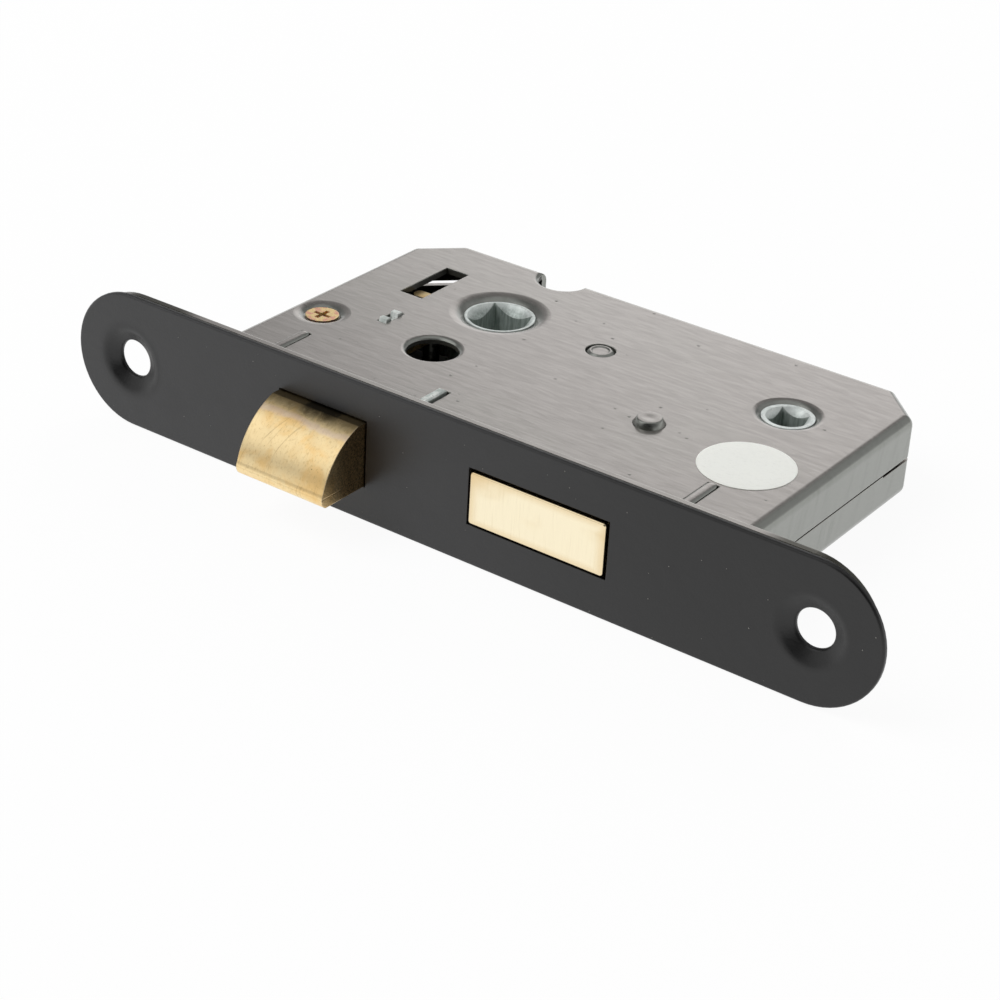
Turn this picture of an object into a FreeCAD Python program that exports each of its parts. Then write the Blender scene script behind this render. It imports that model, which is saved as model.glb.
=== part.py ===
"""Mortice lock for a bathroom door: a sprung latch worked by the lever handle's square
spindle, and a dead bolt worked by the thumb turn's smaller square spindle.

Frame, in millimetres: the lock lies on its side. X runs along the forend, with the latch
at the low end. Y runs from the forend's front face into the case. Z is the thickness of
the case, along both spindles. The origin is the middle of the forend's front face.
"""
import FreeCAD, Part
import math
import os

import Sketcher

DIMENSIONS = {
    # Forend: a finished plate over a structural plate, with two fixing holes in dishes
    "forend_length": 155.0,
    "forend_width": 24.0,
    "outer_plate": 0.8,
    "inner_plate": 1.7,
    "inner_inset": 0.1,
    "inner_end_inset": 1.3,
    "forend_edge": 0.4,
    "inner_edge": 0.4,
    "fixing_inset": 11.75,
    "fixing_hole": 6.5,
    "fixing_dish": 11.5,
    "dish_depth": 1.3,
    "dish_round": 2.5,
    "dish_hole_round": 0.45,
    "dimple_wall": 0.9,
    "dimple_sole": 0.63,
    "nest_gap": 0.05,
    # Case: two trays of sheet steel that meet near the middle of the thickness
    "case_height": 101.6,
    "case_depth": 65.0,
    "case_thickness": 14.4,
    "case_sheet": 1.2,
    "bend_radius": 1.8,
    "corner_cut": 7.0,
    "corner_round": 1.5,
    "seam_gap": 0.3,
    "rear_seam_gap": 0.6,
    "rear_seam_start": 49.4,
    "corner_gap": 0.7,
    # Spindles and the bolt-through holes beside the lever spindle
    "backset": 45.0,
    "lever_x": -22.0,
    "spindle_centres": 57.0,
    "through_spacing": 38.0,
    "through_hole": 8.8,
    "lever_square": 8.0,
    "bathroom_square": 5.0,
    "square_clearance": 0.1,
    "lever_lead": 1.6,
    "bathroom_lead": 1.1,
    "lever_journal": 12.2,
    "bathroom_journal": 8.8,
    "lever_recess": 0.7,
    "bathroom_recess": 0.45,
    "running_fit": 0.08,
    "lever_lip_reach": 2.6,
    "lever_lip_drop": 0.95,
    "bathroom_lip_reach": 1.4,
    "bathroom_lip_drop": 0.65,
    "through_lip_reach": 0.9,
    "through_lip_drop": 0.5,
    # Window over the latch tail and the slots that lugs come through
    "window_x": -37.92,
    "window_width": 4.8,
    "window_start": 40.6,
    "window_length": 13.6,
    "ear_spread": 39.9,
    "ear_shift": -1.45,
    "ear_slot_start": 7.9,
    "ear_slot_length": 9.0,
    "ear_slot_gap": 0.25,
    "ear_rise": 0.15,
    "ear_corner": 0.6,
    "ear_round": 0.5,
    "ear_end": 18.0,
    "slot_clearance": 0.15,
    "divider_x": -11.0,
    "divider_sheet": 1.5,
    "divider_slot_start": 7.4,
    "divider_slot_length": 7.5,
    "divider_slot_gap": 0.35,
    "divider_end_gap": 0.6,
    "divider_rise": 0.55,
    "divider_round": 0.3,
    "divider_end": 20.0,
    "bracket_x": -34.75,
    "bracket_sheet": 1.6,
    "bracket_start": 28.5,
    "bracket_length": 5.0,
    "hump_length": 1.9,
    "hump_rise": 0.5,
    "hump_dip": 0.6,
    # Posts and the cover screw
    "post_rear_x": -0.7,
    "post_rear_y": 44.2,
    "post_rear": 5.1,
    "post_front_x": 19.95,
    "post_front_y": 27.3,
    "post_front": 5.2,
    "post_front_rise": 1.05,
    "post_front_step": 0.1,
    "post_front_slope": 0.6,
    "post_front_round": 0.25,
    "post_fit": 0.06,
    "rivet_rim": 1.85,
    "rivet_pit": 1.35,
    "rivet_sink": 0.45,
    "rivet_rise": 0.1,
    "rivet_dip": 0.05,
    "spigot": 4.0,
    "screw_inset": 6.25,
    "screw_y": 24.65,
    "screw_head": 5.8,
    "screw_cone": 0.8,
    "screw_shank": 3.0,
    "screw_length": 9.0,
    "screw_play": 0.12,
    "screw_sink": 0.35,
    "recess_arm": 0.8,
    "recess_span": 3.3,
    "recess_depth": 1.5,
    "screw_post": 6.4,
    "seat_dish_reach": 1.9,
    "seat_dish_drop": 0.6,
    # Latch: bevelled head, brass tail and its spring
    "latch_x": -24.05,
    "latch_width": 17.6,
    "latch_thickness": 11.4,
    "latch_reach": 10.35,
    "aperture_gap": 0.2,
    "bevel_start": 1.8,
    "bevel_radius": 13.0,
    "nose_band": 2.5,
    "nose_band_radius": 1.7,
    "nose_underside": 0.8,
    "shoulder_overlap": 1.2,
    "shoulder_length": 3.2,
    "seat_gap": 0.3,
    "tongue_width": 5.3,
    "tongue_length": 5.0,
    "tail_low": 2.9,
    "tail_sheet": 1.6,
    "tail_width": 4.0,
    "tail_front": 6.3,
    "tab_gap": 0.1,
    "tab_drop": 2.6,
    "lug_front": 43.6,
    "lug_thick": 2.2,
    "lug_width": 4.4,
    "lug_top": 5.8,
    "lug_drop": 3.0,
    "lug_round": 0.88,
    "latch_rivet": 2.0,
    "latch_rivet_front": 1.25,
    "latch_rivet_back": 3.6,
    "latch_spring": 5.4,
    "latch_spring_shift": 0.25,
    "latch_spring_wire": 0.8,
    "latch_spring_turns": 5.0,
    "end_gap": 0.1,
    # Lever follower, its return spring and its stop
    "lever_web": 17.2,
    "web_thickness": 5.0,
    "lever_arm": 16.0,
    "lever_arm_width": 3.2,
    "nose_radius": 2.0,
    "drive_gap": 0.25,
    "return_spring": 14.6,
    "return_wire": 0.9,
    "return_pitch": 1.0,
    "return_turns": 2.25,
    "return_leg": 7.2,
    "return_hook": 2.0,
    "stop_pin": 3.0,
    "stop_reach": 11.0,
    "anchor_pin": 2.4,
    "anchor_margin": 2.0,
    # Dead bolt, its tail, the bathroom follower and the bolt's spring
    "bolt_x": 18.02,
    "bolt_width": 25.0,
    "bolt_thickness": 9.0,
    "bolt_rise": 0.35,
    "bolt_length": 17.4,
    "bolt_throw": 12.0,
    "bolt_edge": 0.3,
    "bolt_corner": 0.5,
    "bolt_gap": 0.5,
    "fork_depth": 5.0,
    "fork_gap": 0.05,
    "bolt_rivet": 2.5,
    "bolt_rivet_left": 4.2,
    "bolt_rivet_right": 7.1,
    "bolt_tail_sheet": 3.0,
    "bolt_tail_low": 10.0,
    "bolt_tail_gap": 0.5,
    "bolt_tail_margin": 2.3,
    "guide_gap": 0.25,
    "bathroom_arm": 8.5,
    "bathroom_neck": 2.6,
    "drive_slack": 0.35,
    "notch_reach": 0.3,
    "notch_flare": 0.85,
    "notch_lead": 1.5,
    "detent_depth": 1.0,
    "detent_half": 2.0,
    "bolt_spring": 6.4,
    "bolt_spring_wire": 0.9,
    "bolt_spring_pitch": 1.1,
    "bolt_spring_gap": 0.25,
    "bolt_spring_turns": 2.0,
    "bolt_spring_leg": 8.2,
    "bolt_spring_pin": 6.4,
    "vee_length": 3.2,
    "vee_slope": 2.8,
    # Inspection label on the cover
    "label_inset": 11.7,
    "label_y": 25.3,
    "label_diameter": 15.7,
    "label_thickness": 0.1,
}

doc = FreeCAD.newDocument("BathroomLock")
sheet = doc.addObject("Spreadsheet::Sheet", "Dims")
for row, (alias, value) in enumerate(DIMENSIONS.items(), start=1):
    sheet.set(f"A{row}", alias)
    sheet.set(f"B{row}", str(value))
    sheet.setAlias(f"B{row}", alias)
doc.recompute()


def bound(expression):
    """Write every size's name in an expression as a reference to the sheet."""
    words = []
    word = ""
    for letter in expression + " ":
        if letter.isalnum() or letter in "_.":
            word += letter
            continue
        words.append(f"Dims.{word}" if word in DIMENSIONS else word)
        words.append(letter)
        word = ""
    return "".join(words).strip()


def number(expression):
    """Return the value that an expression has now."""
    return float(sheet.evalExpression(bound(expression)))


def less(expression):
    """Return the negative of an expression."""
    return f"-({expression})"


# Places that several pieces share
HALF = "case_thickness / 2"
INSIDE = f"({HALF} - case_sheet)"
FOREND = "(outer_plate + inner_plate)"
RIGHT = "case_height / 2"
BATHROOM_X = "(lever_x + spindle_centres)"
LEVER_END = f"({HALF} - lever_recess)"
BATHROOM_END = f"({HALF} - bathroom_recess)"
SCREW_X = "(screw_inset - case_height / 2)"
LABEL_X = "(case_height / 2 - label_inset)"
FIXING_SIDES = ("fixing_inset - forend_length / 2", "forend_length / 2 - fixing_inset")
DIMPLE_DEPTH = "(dish_depth + dimple_sole)"
THROUGH_FRONT = "(backset - through_spacing / 2)"
THROUGH_REAR = "(backset + through_spacing / 2)"
LEFT_EAR_X = "(ear_shift - ear_spread)"
RIGHT_EAR_X = "(ear_shift + ear_spread)"
TAIL_TOP = "(tail_low + tail_sheet)"
TAIL_LEFT = "(latch_x - latch_width / 2 - aperture_gap / 2)"
TAIL_RIGHT = f"({TAIL_LEFT} + tail_width)"
HEAD_REAR = f"({FOREND} + seat_gap + shoulder_length)"
LATCH_RIVET_X = "(latch_x - latch_width / 2 + tail_width / 2)"
LATCH_RIVET_ROWS = (f"({HEAD_REAR} + latch_rivet_front)", f"({HEAD_REAR} + latch_rivet_back)")
TAB_FRONT = f"({HEAD_REAR} + tongue_length + tab_gap)"
TAB_REAR = f"({TAB_FRONT} + tail_sheet)"
LATCH_SPRING_X = f"({TAIL_LEFT} - latch_spring_shift)"
WINDOW_LEFT = "(window_x - window_width / 2)"
NOSE_Y = "(lug_front - drive_gap - nose_radius)"
NOSE_DROP = f"(backset - {NOSE_Y})"
NOSE_RUN = f"sqrt(lever_arm ^ 2 - {NOSE_DROP} ^ 2)"
NOSE_X = f"(lever_x - {NOSE_RUN})"
BOLT_HALF_THROW = "bolt_throw / 2"
BATH_RUN = f"sqrt(bathroom_arm ^ 2 - ({BOLT_HALF_THROW}) ^ 2)"
BATH_NOSE_X = f"({BATHROOM_X} - {BATH_RUN})"
BATH_NOSE_Y = f"(backset + {BOLT_HALF_THROW})"
BOLT_TAIL_RIGHT = f"({BATHROOM_X} - bathroom_journal / 2 - bolt_tail_gap)"
BOLT_REAR = "(bolt_length - bolt_rise)"
FORK_FRONT = f"({BOLT_REAR} - fork_depth)"


# How near, in millimetres, counts as touching and as lying about one axis
TOUCH = 1e-4
NEAR = 1e-3


class Drawing:
    """A sketch on one of a body's own planes, with its points bound to the sheet."""

    def __init__(self, body, role, level="0", across="0", along="0"):
        plane = next(p for p in body.Origin.OriginFeatures if p.Role == role)
        self.sketch = body.newObject("Sketcher::SketchObject", f"{body.Name}Sketch")
        self.sketch.AttachmentSupport = [(plane, "")]
        self.sketch.MapMode = "FlatFace"
        for axis, expression in zip("xyz", (across, along, level)):
            self.sketch.setExpression(f"AttachmentOffset.Base.{axis}", bound(expression))

    def fix(self, kind, geometry, point, expression):
        """Hold a point at a distance from the sketch's origin."""
        value = number(expression)
        index = self.sketch.addConstraint(
            Sketcher.Constraint(kind, -1, 1, geometry, point, value))
        self.sketch.setExpression(f"Constraints[{index}]", bound(expression))

    def circle(self, x, y, diameter):
        """Draw a circle by its centre and diameter."""
        centre = FreeCAD.Vector(number(x), number(y), 0)
        index = self.sketch.addGeometry(
            Part.Circle(centre, FreeCAD.Vector(0, 0, 1), number(diameter) / 2), False)
        self.fix("DistanceX", index, 3, x)
        self.fix("DistanceY", index, 3, y)
        size = self.sketch.addConstraint(
            Sketcher.Constraint("Diameter", index, number(diameter)))
        self.sketch.setExpression(f"Constraints[{size}]", bound(diameter))

    def outline(self, points, arcs=None):
        """Draw a closed outline through points. An arc, named by the number of the point
        that it starts from, is given by its radius and by the side it bulges to: 1 is
        the left of its chord and -1 the right."""
        arcs = arcs or {}
        spots = [FreeCAD.Vector(number(x), number(y), 0) for x, y in points]
        edges = []
        for number_of, start in enumerate(spots):
            end = spots[(number_of + 1) % len(spots)]
            if number_of in arcs:
                radius, side = arcs[number_of]
                edges.append(arc_between(start, end, number(radius), side))
            else:
                edges.append(Part.LineSegment(start, end))
        first = self.sketch.GeometryCount
        self.sketch.addGeometry(edges, False)
        ends = []
        for number_of, edge in enumerate(edges):
            forwards = number_of not in arcs or arcs[number_of][1] < 0
            ends.append((1, 2) if forwards else (2, 1))
        for number_of, (x, y) in enumerate(points):
            index = first + number_of
            after = (number_of + 1) % len(points)
            self.sketch.addConstraint(Sketcher.Constraint(
                "Coincident", index, ends[number_of][1], first + after, ends[after][0]))
            self.fix("DistanceX", index, ends[number_of][0], x)
            self.fix("DistanceY", index, ends[number_of][0], y)
            if number_of in arcs:
                radius = arcs[number_of][0]
                size = self.sketch.addConstraint(
                    Sketcher.Constraint("Radius", index, number(radius)))
                self.sketch.setExpression(f"Constraints[{size}]", bound(radius))

    def box(self, left, low, right, high):
        """Draw a rectangle by its sides."""
        self.outline([(left, low), (right, low), (right, high), (left, high)])

    def racetrack(self, low, high, centre, width, upright=False):
        """Draw a long hole or plate with round ends between two limits."""
        half = f"({width}) / 2"
        start, end = f"({low} + {half})", f"({high} - {half})"
        near, far = f"({centre} - {half})", f"({centre} + {half})"
        points = [(start, near), (end, near), (end, far), (start, far)]
        if upright:
            points = [(y, x) for x, y in points]
        spots = [FreeCAD.Vector(number(x), number(y), 0) for x, y in points]
        middle = {1: (end, centre), 3: (start, centre)}
        first = self.sketch.GeometryCount
        ends = []
        for place, spot in enumerate(spots):
            after = spots[(place + 1) % 4]
            if place in middle:
                centre_point = (spot + after) / 2
                chord = after - spot
                radius = chord.Length / 2
                begin = math.atan2(spot.y - centre_point.y, spot.x - centre_point.x)
                turn = -math.pi if upright else math.pi
                low_angle, high_angle = sorted((begin, begin + turn))
                round_end = Part.Circle(centre_point, FreeCAD.Vector(0, 0, 1), radius)
                self.sketch.addGeometry(
                    Part.ArcOfCircle(round_end, low_angle, high_angle), False)
                ends.append((2, 1) if upright else (1, 2))
            else:
                self.sketch.addGeometry(Part.LineSegment(spot, after), False)
                ends.append((1, 2))
        for place, (x, y) in enumerate(points):
            after = (place + 1) % 4
            self.sketch.addConstraint(Sketcher.Constraint(
                "Coincident", first + place, ends[place][1], first + after, ends[after][0]))
            self.fix("DistanceX", first + place, ends[place][0], x)
            self.fix("DistanceY", first + place, ends[place][0], y)
            if place in middle:
                along, _ = middle[place]
                kind = "DistanceY" if upright else "DistanceX"
                self.fix(kind, first + place, 3, along)


def arc_between(start, end, radius, side):
    """Return the arc of a radius from one point to another, bulging to one side."""
    chord = end - start
    left = FreeCAD.Vector(-chord.y, chord.x, 0).normalize()
    rise = math.sqrt(max(radius ** 2 - (chord.Length / 2) ** 2, 0.0))
    centre = (start + end) / 2 - left * (rise * side)
    top = centre + left * (radius * side)
    return Part.Arc(start, top, end)


class Piece:
    """One piece of the lock, built as a body from pads, cuts and turned features."""

    def __init__(self, label):
        self.body = doc.addObject("PartDesign::Body", label)
        self.body.Label = label

    def _levels(self, role, low, high):
        """Return a span along a plane's own normal, which for XZ points to -Y."""
        return (less(high), less(low)) if role == "XZ_Plane" else (low, high)

    def pad(self, role, low, high):
        """Start a pad between two levels and return the drawing to fill in."""
        bottom, top = self._levels(role, low, high)
        drawing = Drawing(self.body, role, bottom)
        feature = self.body.newObject("PartDesign::Pad", f"{self.body.Name}Pad")
        feature.Profile = drawing.sketch
        feature.setExpression("Length", bound(f"({top}) - ({bottom})"))
        self.body.Tip = feature
        return drawing

    def cut(self, role, low, high):
        """Start a pocket between two levels and return the drawing to fill in."""
        bottom, top = self._levels(role, low, high)
        drawing = Drawing(self.body, role, top)
        feature = self.body.newObject("PartDesign::Pocket", f"{self.body.Name}Cut")
        feature.Profile = drawing.sketch
        feature.setExpression("Length", bound(f"({top}) - ({bottom})"))
        self.body.Tip = feature
        return drawing

    def turned(self, kind, x, y, points, arcs=None):
        """Turn an outline of radius and height about an axis along Z."""
        self._turned(kind, Drawing(self.body, "XZ_Plane", less(y), x), points, arcs)

    def turned_across(self, kind, x, points):
        """Turn an outline of radius and depth about an axis along Y, at mid thickness."""
        self._turned(kind, Drawing(self.body, "XY_Plane", "0", x), points, None)

    def _turned(self, kind, drawing, points, arcs):
        drawing.outline(points, arcs)
        feature = self.body.newObject(f"PartDesign::{kind}", f"{self.body.Name}{kind}")
        feature.Profile = drawing.sketch
        feature.ReferenceAxis = (drawing.sketch, ["V_Axis"])
        feature.Angle = 360
        self.body.Tip = feature

    def round_edges(self, radius, wanted):
        """Round the edges that a test picks out."""
        doc.recompute()
        base = self.body.Tip
        names = [f"Edge{place}" for place, edge in enumerate(base.Shape.Edges, start=1)
                 if wanted(edge)]
        feature = self.body.newObject("PartDesign::Fillet", f"{self.body.Name}Round")
        feature.Base = (base, names)
        feature.setExpression("Radius", bound(radius))
        self.body.Tip = feature


def at_level(edge, axis, level):
    """Tell whether an edge lies wholly at one level along an axis."""
    low = getattr(edge.BoundBox, f"{axis}Min")
    high = getattr(edge.BoundBox, f"{axis}Max")
    return abs(low - level) < TOUCH and abs(high - level) < TOUCH


def centred_on(edge, **spot):
    """Tell whether an edge lies evenly about a spot given on some axes, as a rim does."""
    middle = edge.BoundBox.Center
    return all(abs(getattr(middle, axis) - value) < NEAR for axis, value in spot.items())


def vector(x, y, z):
    """Return the point that three expressions give."""
    return FreeCAD.Vector(number(x), number(y), number(z))


def wire_run(points, diameter):
    """Return round wire along straight runs, with a ball at each bend."""
    solid = None
    for start, end in zip(points, points[1:]):
        run = end - start
        bar = Part.makeCylinder(diameter / 2, run.Length, start, run)
        knuckle = Part.makeSphere(diameter / 2, end)
        solid = bar.fuse(knuckle) if solid is None else solid.fuse([bar, knuckle])
    return solid


def coil(diameter, wire, pitch, turns):
    """Return a coil of round wire about Z, from its outer diameter, starting on +X."""
    mean = (diameter - wire) / 2
    path = Part.makeHelix(pitch, pitch * turns, mean)
    section = Part.Wire(Part.makeCircle(
        wire / 2, FreeCAD.Vector(mean, 0, 0), FreeCAD.Vector(0, 1, 0)))
    return Part.Wire(path).makePipeShell([section], True, True)


def loose_piece(label, shape):
    """Put a shape made directly, such as a spring, in the document under its name."""
    feature = doc.addObject("Part::Feature", label)
    feature.Label = label
    feature.Shape = shape
    return feature


# Forend

def fixing_profile(extra, floor):
    """Return the turned outline of a dished fixing hole, grown by a gap and cut to a
    depth, as radius and depth pairs."""
    wide = f"(fixing_dish / 2 + {extra})"
    narrow = f"(fixing_hole / 2 + {extra})"
    return [("0", "-dish_depth"), (f"{wide} + dish_depth", "-dish_depth"), (wide, "0"),
            (narrow, "dish_depth"), (narrow, floor), ("0", floor)]


def make_outer_forend():
    """The finished plate. Its fixing holes are pressed into dimples that nest in the
    countersinks of the plate behind."""
    piece = Piece("outer_forend")
    plate = piece.pad("XZ_Plane", "0", "outer_plate")
    plate.racetrack("-forend_length / 2", "forend_length / 2", "0", "forend_width")
    piece.round_edges("forend_edge", lambda edge: at_level(edge, "Y", 0.0))
    for side in FIXING_SIDES:
        piece.turned_across("Revolution", side, [
            ("0", "outer_plate / 2"), ("fixing_dish / 2", "outer_plate / 2"),
            ("fixing_dish / 2", "outer_plate"),
            (f"fixing_dish / 2 + dimple_wall - ({DIMPLE_DEPTH} - outer_plate)", DIMPLE_DEPTH),
            ("0", DIMPLE_DEPTH)])
        piece.turned_across("Groove", side, fixing_profile("0", f"{FOREND}"))
    middles = [number(side) for side in FIXING_SIDES]
    for radius, depth in (("dish_round", "0"), ("dish_hole_round", "dish_depth")):
        level = number(depth)
        piece.round_edges(radius, lambda edge: at_level(edge, "Y", level) and any(
            centred_on(edge, x=middle, z=0.0) for middle in middles))
    openings = piece.cut("XZ_Plane", "-outer_plate", f"2 * {FOREND}")
    forend_openings(openings)
    return piece


def forend_openings(drawing):
    """Draw the latch and bolt openings that both forend plates share."""
    for centre, width, thick, gap in (
            ("latch_x", "latch_width", "latch_thickness", "aperture_gap"),
            ("bolt_x", "bolt_width", "bolt_thickness", "bolt_gap")):
        half_wide = f"(({width}) / 2 + {gap})"
        half_thick = f"(({thick}) / 2 + {gap})"
        drawing.box(f"{centre} - {half_wide}", less(half_thick),
                    f"{centre} + {half_wide}", half_thick)


def make_inner_forend():
    """The structural plate, with two ears that reach back between the case walls and
    end in lugs through the slots of both trays."""
    piece = Piece("inner_forend")
    plate = piece.pad("XZ_Plane", "outer_plate", FOREND)
    plate.racetrack("-forend_length / 2 + inner_end_inset",
                    "forend_length / 2 - inner_end_inset",
                    "0", "forend_width - 2 * inner_inset")
    faces = (number("outer_plate"), number(FOREND))
    piece.round_edges("inner_edge", lambda edge: any(
        at_level(edge, "Y", face) for face in faces))
    for ear_x in (LEFT_EAR_X, RIGHT_EAR_X):
        left, right = f"{ear_x} - inner_plate / 2", f"{ear_x} + inner_plate / 2"
        ear = piece.pad("YZ_Plane", left, right)
        back, inner = f"({FOREND} - inner_plate / 2)", f"({INSIDE} - seat_gap)"
        lug_start = "(ear_slot_start + slot_clearance)"
        lug_end = "(ear_slot_start + ear_slot_length - slot_clearance)"
        low, high = f"(slot_clearance / 2 - {HALF})", f"({HALF} + ear_rise)"
        ear.outline([
            (back, less(inner)), (lug_start, less(inner)), (lug_start, low),
            (lug_end, low), (lug_end, less(inner)), ("ear_end", less(inner)),
            ("ear_end", inner), (lug_end, inner), (lug_end, high), (lug_start, high),
            (lug_start, inner), (back, inner)])
    top = number(f"{HALF} + ear_rise")
    piece.round_edges("ear_corner", lambda edge: abs(edge.BoundBox.ZMax - top) < TOUCH
                      and edge.BoundBox.XLength < TOUCH and edge.BoundBox.YLength < TOUCH)
    piece.round_edges("ear_round", lambda edge: at_level(edge, "Z", top))
    wide = "(fixing_dish / 2 + dimple_wall + nest_gap)"
    narrow = f"({wide} - ({DIMPLE_DEPTH} - outer_plate))"
    for side in FIXING_SIDES:
        piece.turned_across("Groove", side, [
            ("0", "outer_plate / 2"), (wide, "outer_plate / 2"), (wide, "outer_plate"),
            (narrow, DIMPLE_DEPTH), (narrow, f"2 * {FOREND}"), ("0", f"2 * {FOREND}")])
    openings = piece.cut("XZ_Plane", "0", f"2 * {FOREND}")
    forend_openings(openings)
    return piece


# Case

def case_outline(drawing, inset, front):
    """Draw the case's outline with its two rear corners cut off, moved in by an inset."""
    side = f"({RIGHT} - {inset})"
    rear = f"(case_depth - {inset})"
    slant = f"(corner_cut - {inset} * (2 - sqrt(2)))"
    drawing.outline([
        (less(side), front), (side, front), (side, f"{rear} - {slant}"),
        (f"{side} - {slant}", rear), (f"{slant} - {side}", rear),
        (less(side), f"{rear} - {slant}")])


def case_openings(piece, low, high):
    """Cut what goes through both case walls: spindle and bolt-through holes, and the
    slots for the lugs."""
    drawing = piece.cut("XY_Plane", low, high)
    drawing.circle("lever_x", THROUGH_FRONT, "through_hole")
    drawing.circle("lever_x", "backset", "lever_journal + 2 * running_fit")
    drawing.circle(BATHROOM_X, "backset", "bathroom_journal + 2 * running_fit")
    for ear_x in (LEFT_EAR_X, RIGHT_EAR_X):
        half = "(inner_plate / 2 + ear_slot_gap)"
        drawing.box(f"{ear_x} - {half}", "ear_slot_start", f"{ear_x} + {half}",
                    "ear_slot_start + ear_slot_length")
    half = "(divider_sheet / 2 + slot_clearance)"
    drawing.box(f"divider_x - {half}", "divider_slot_start",
                f"divider_x + {half} + divider_slot_gap",
                "divider_slot_start + divider_slot_length")
    half = "(bracket_sheet / 2 + slot_clearance)"
    drawing.box(f"bracket_x - {half}", "bracket_start - slot_clearance",
                f"bracket_x + {half}", "bracket_start + bracket_length + slot_clearance")
    notch = piece.cut("XY_Plane", less("case_thickness"), "case_thickness")
    notch.circle("lever_x", THROUGH_REAR, "through_hole")


def case_tray(label, outer, inner, rim):
    """Make one half of the case: an open tray whose outer wall is at one level and whose
    rim is at another. The levels are higher or lower according to the half."""
    upper = number(outer) > 0
    piece = Piece(label)
    low, high = (rim, outer) if upper else (outer, rim)
    case_outline(piece.pad("XY_Plane", low, high), "0", FOREND)
    front = number(FOREND)
    face = number(outer)

    def upright_corner(edge):
        tall = edge.BoundBox.ZLength > TOUCH and edge.BoundBox.XLength < TOUCH
        return tall and edge.BoundBox.YMin > front + TOUCH

    def face_edge(edge):
        return at_level(edge, "Z", face) and not at_level(edge, "Y", front)

    piece.round_edges("corner_round", upright_corner)
    piece.round_edges("bend_radius", face_edge)
    low, high = (f"{rim} - case_sheet", inner) if upper else (inner, f"{rim} + case_sheet")
    case_outline(piece.cut("XY_Plane", low, high), "case_sheet", f"{FOREND} - case_sheet")
    return piece


def rolled_lip(piece, x, y, hole, reach, drop):
    """Roll the cover's wall down into a hole, along an arc that leaves the wall flat."""
    rim = f"({hole} + {reach})"
    low = f"({HALF} - {drop})"
    above = f"({HALF} + {drop})"
    radius = f"(({reach}) ^ 2 + ({drop}) ^ 2) / (2 * ({drop}))"
    piece.turned("Groove", x, y, [
        ("0", low), (hole, low), (rim, HALF), (rim, above), ("0", above)],
        {1: (radius, 1)})


def make_case_cover():
    """The upper tray. Its rear corner beside the window stops short of the seam, so that
    light shows through there, and its holes have rolled lips."""
    piece = case_tray("case_cover", HALF, INSIDE, "0")
    case_openings(piece, "0", "case_thickness")
    window = piece.cut("XY_Plane", "0", "case_thickness")
    window.box(WINDOW_LEFT, "window_start",
               f"{WINDOW_LEFT} + window_width", "window_start + window_length")
    posts = piece.cut("XY_Plane", "0", "case_thickness")
    posts.circle("post_rear_x", "post_rear_y", "post_rear + 2 * post_fit")
    posts.circle("post_front_x", "post_front_y", "post_front + 2 * post_fit")
    posts.circle(SCREW_X, "screw_y", "screw_shank + 2 * screw_play")
    head_low = f"({HALF} - screw_sink - screw_cone)"
    piece.turned("Groove", SCREW_X, "screw_y", [
        ("0", head_low), ("screw_shank / 2 + screw_play", head_low),
        ("screw_head / 2 + screw_play", f"{HALF} - screw_sink"),
        ("screw_head / 2 + screw_play", f"{HALF} + screw_sink"),
        ("0", f"{HALF} + screw_sink")])
    relief = piece.cut("XY_Plane", "-corner_gap", "corner_gap")
    relief.box(less(RIGHT), "case_depth - corner_cut", f"corner_cut - {RIGHT}",
               "case_depth")
    rolled_lip(piece, "lever_x", "backset", "(lever_journal / 2 + running_fit)",
               "lever_lip_reach", "lever_lip_drop")
    rolled_lip(piece, BATHROOM_X, "backset", "(bathroom_journal / 2 + running_fit)",
               "bathroom_lip_reach", "bathroom_lip_drop")
    for hole_y in (THROUGH_FRONT, THROUGH_REAR):
        rolled_lip(piece, "lever_x", hole_y, "(through_hole / 2)",
                   "through_lip_reach", "through_lip_drop")
    rolled_lip(piece, SCREW_X, "screw_y", "(screw_head / 2 + screw_play)",
               "seat_dish_reach", "seat_dish_drop")
    return piece


def make_case_body():
    """The lower tray, which carries the posts. Its rim drops a little towards the rear,
    on the dead bolt's side."""
    piece = case_tray("case_body", less(HALF), less(INSIDE), "-seam_gap")
    case_openings(piece, "-case_thickness", "0")
    spigots = piece.cut("XY_Plane", "-case_thickness", "0")
    for x, y in (("post_rear_x", "post_rear_y"), ("post_front_x", "post_front_y"),
                 (SCREW_X, "screw_y")):
        spigots.circle(x, y, "spigot + 2 * post_fit")
    drop = piece.cut("XY_Plane", "-rear_seam_gap", "rear_seam_gap")
    drop.box("0", "rear_seam_start",
             f"{RIGHT} + case_sheet", "case_depth + case_sheet")
    return piece


def make_post(label, x, y, diameter, top_points):
    """A post riveted to the lower wall, with its top finished by the given outline."""
    piece = Piece(label)
    radius = f"{diameter} / 2"
    piece.turned("Revolution", x, y, [
        ("0", less(HALF)), ("spigot / 2", less(HALF)), ("spigot / 2", less(INSIDE)),
        (radius, less(INSIDE))] + top_points)
    return piece


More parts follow.
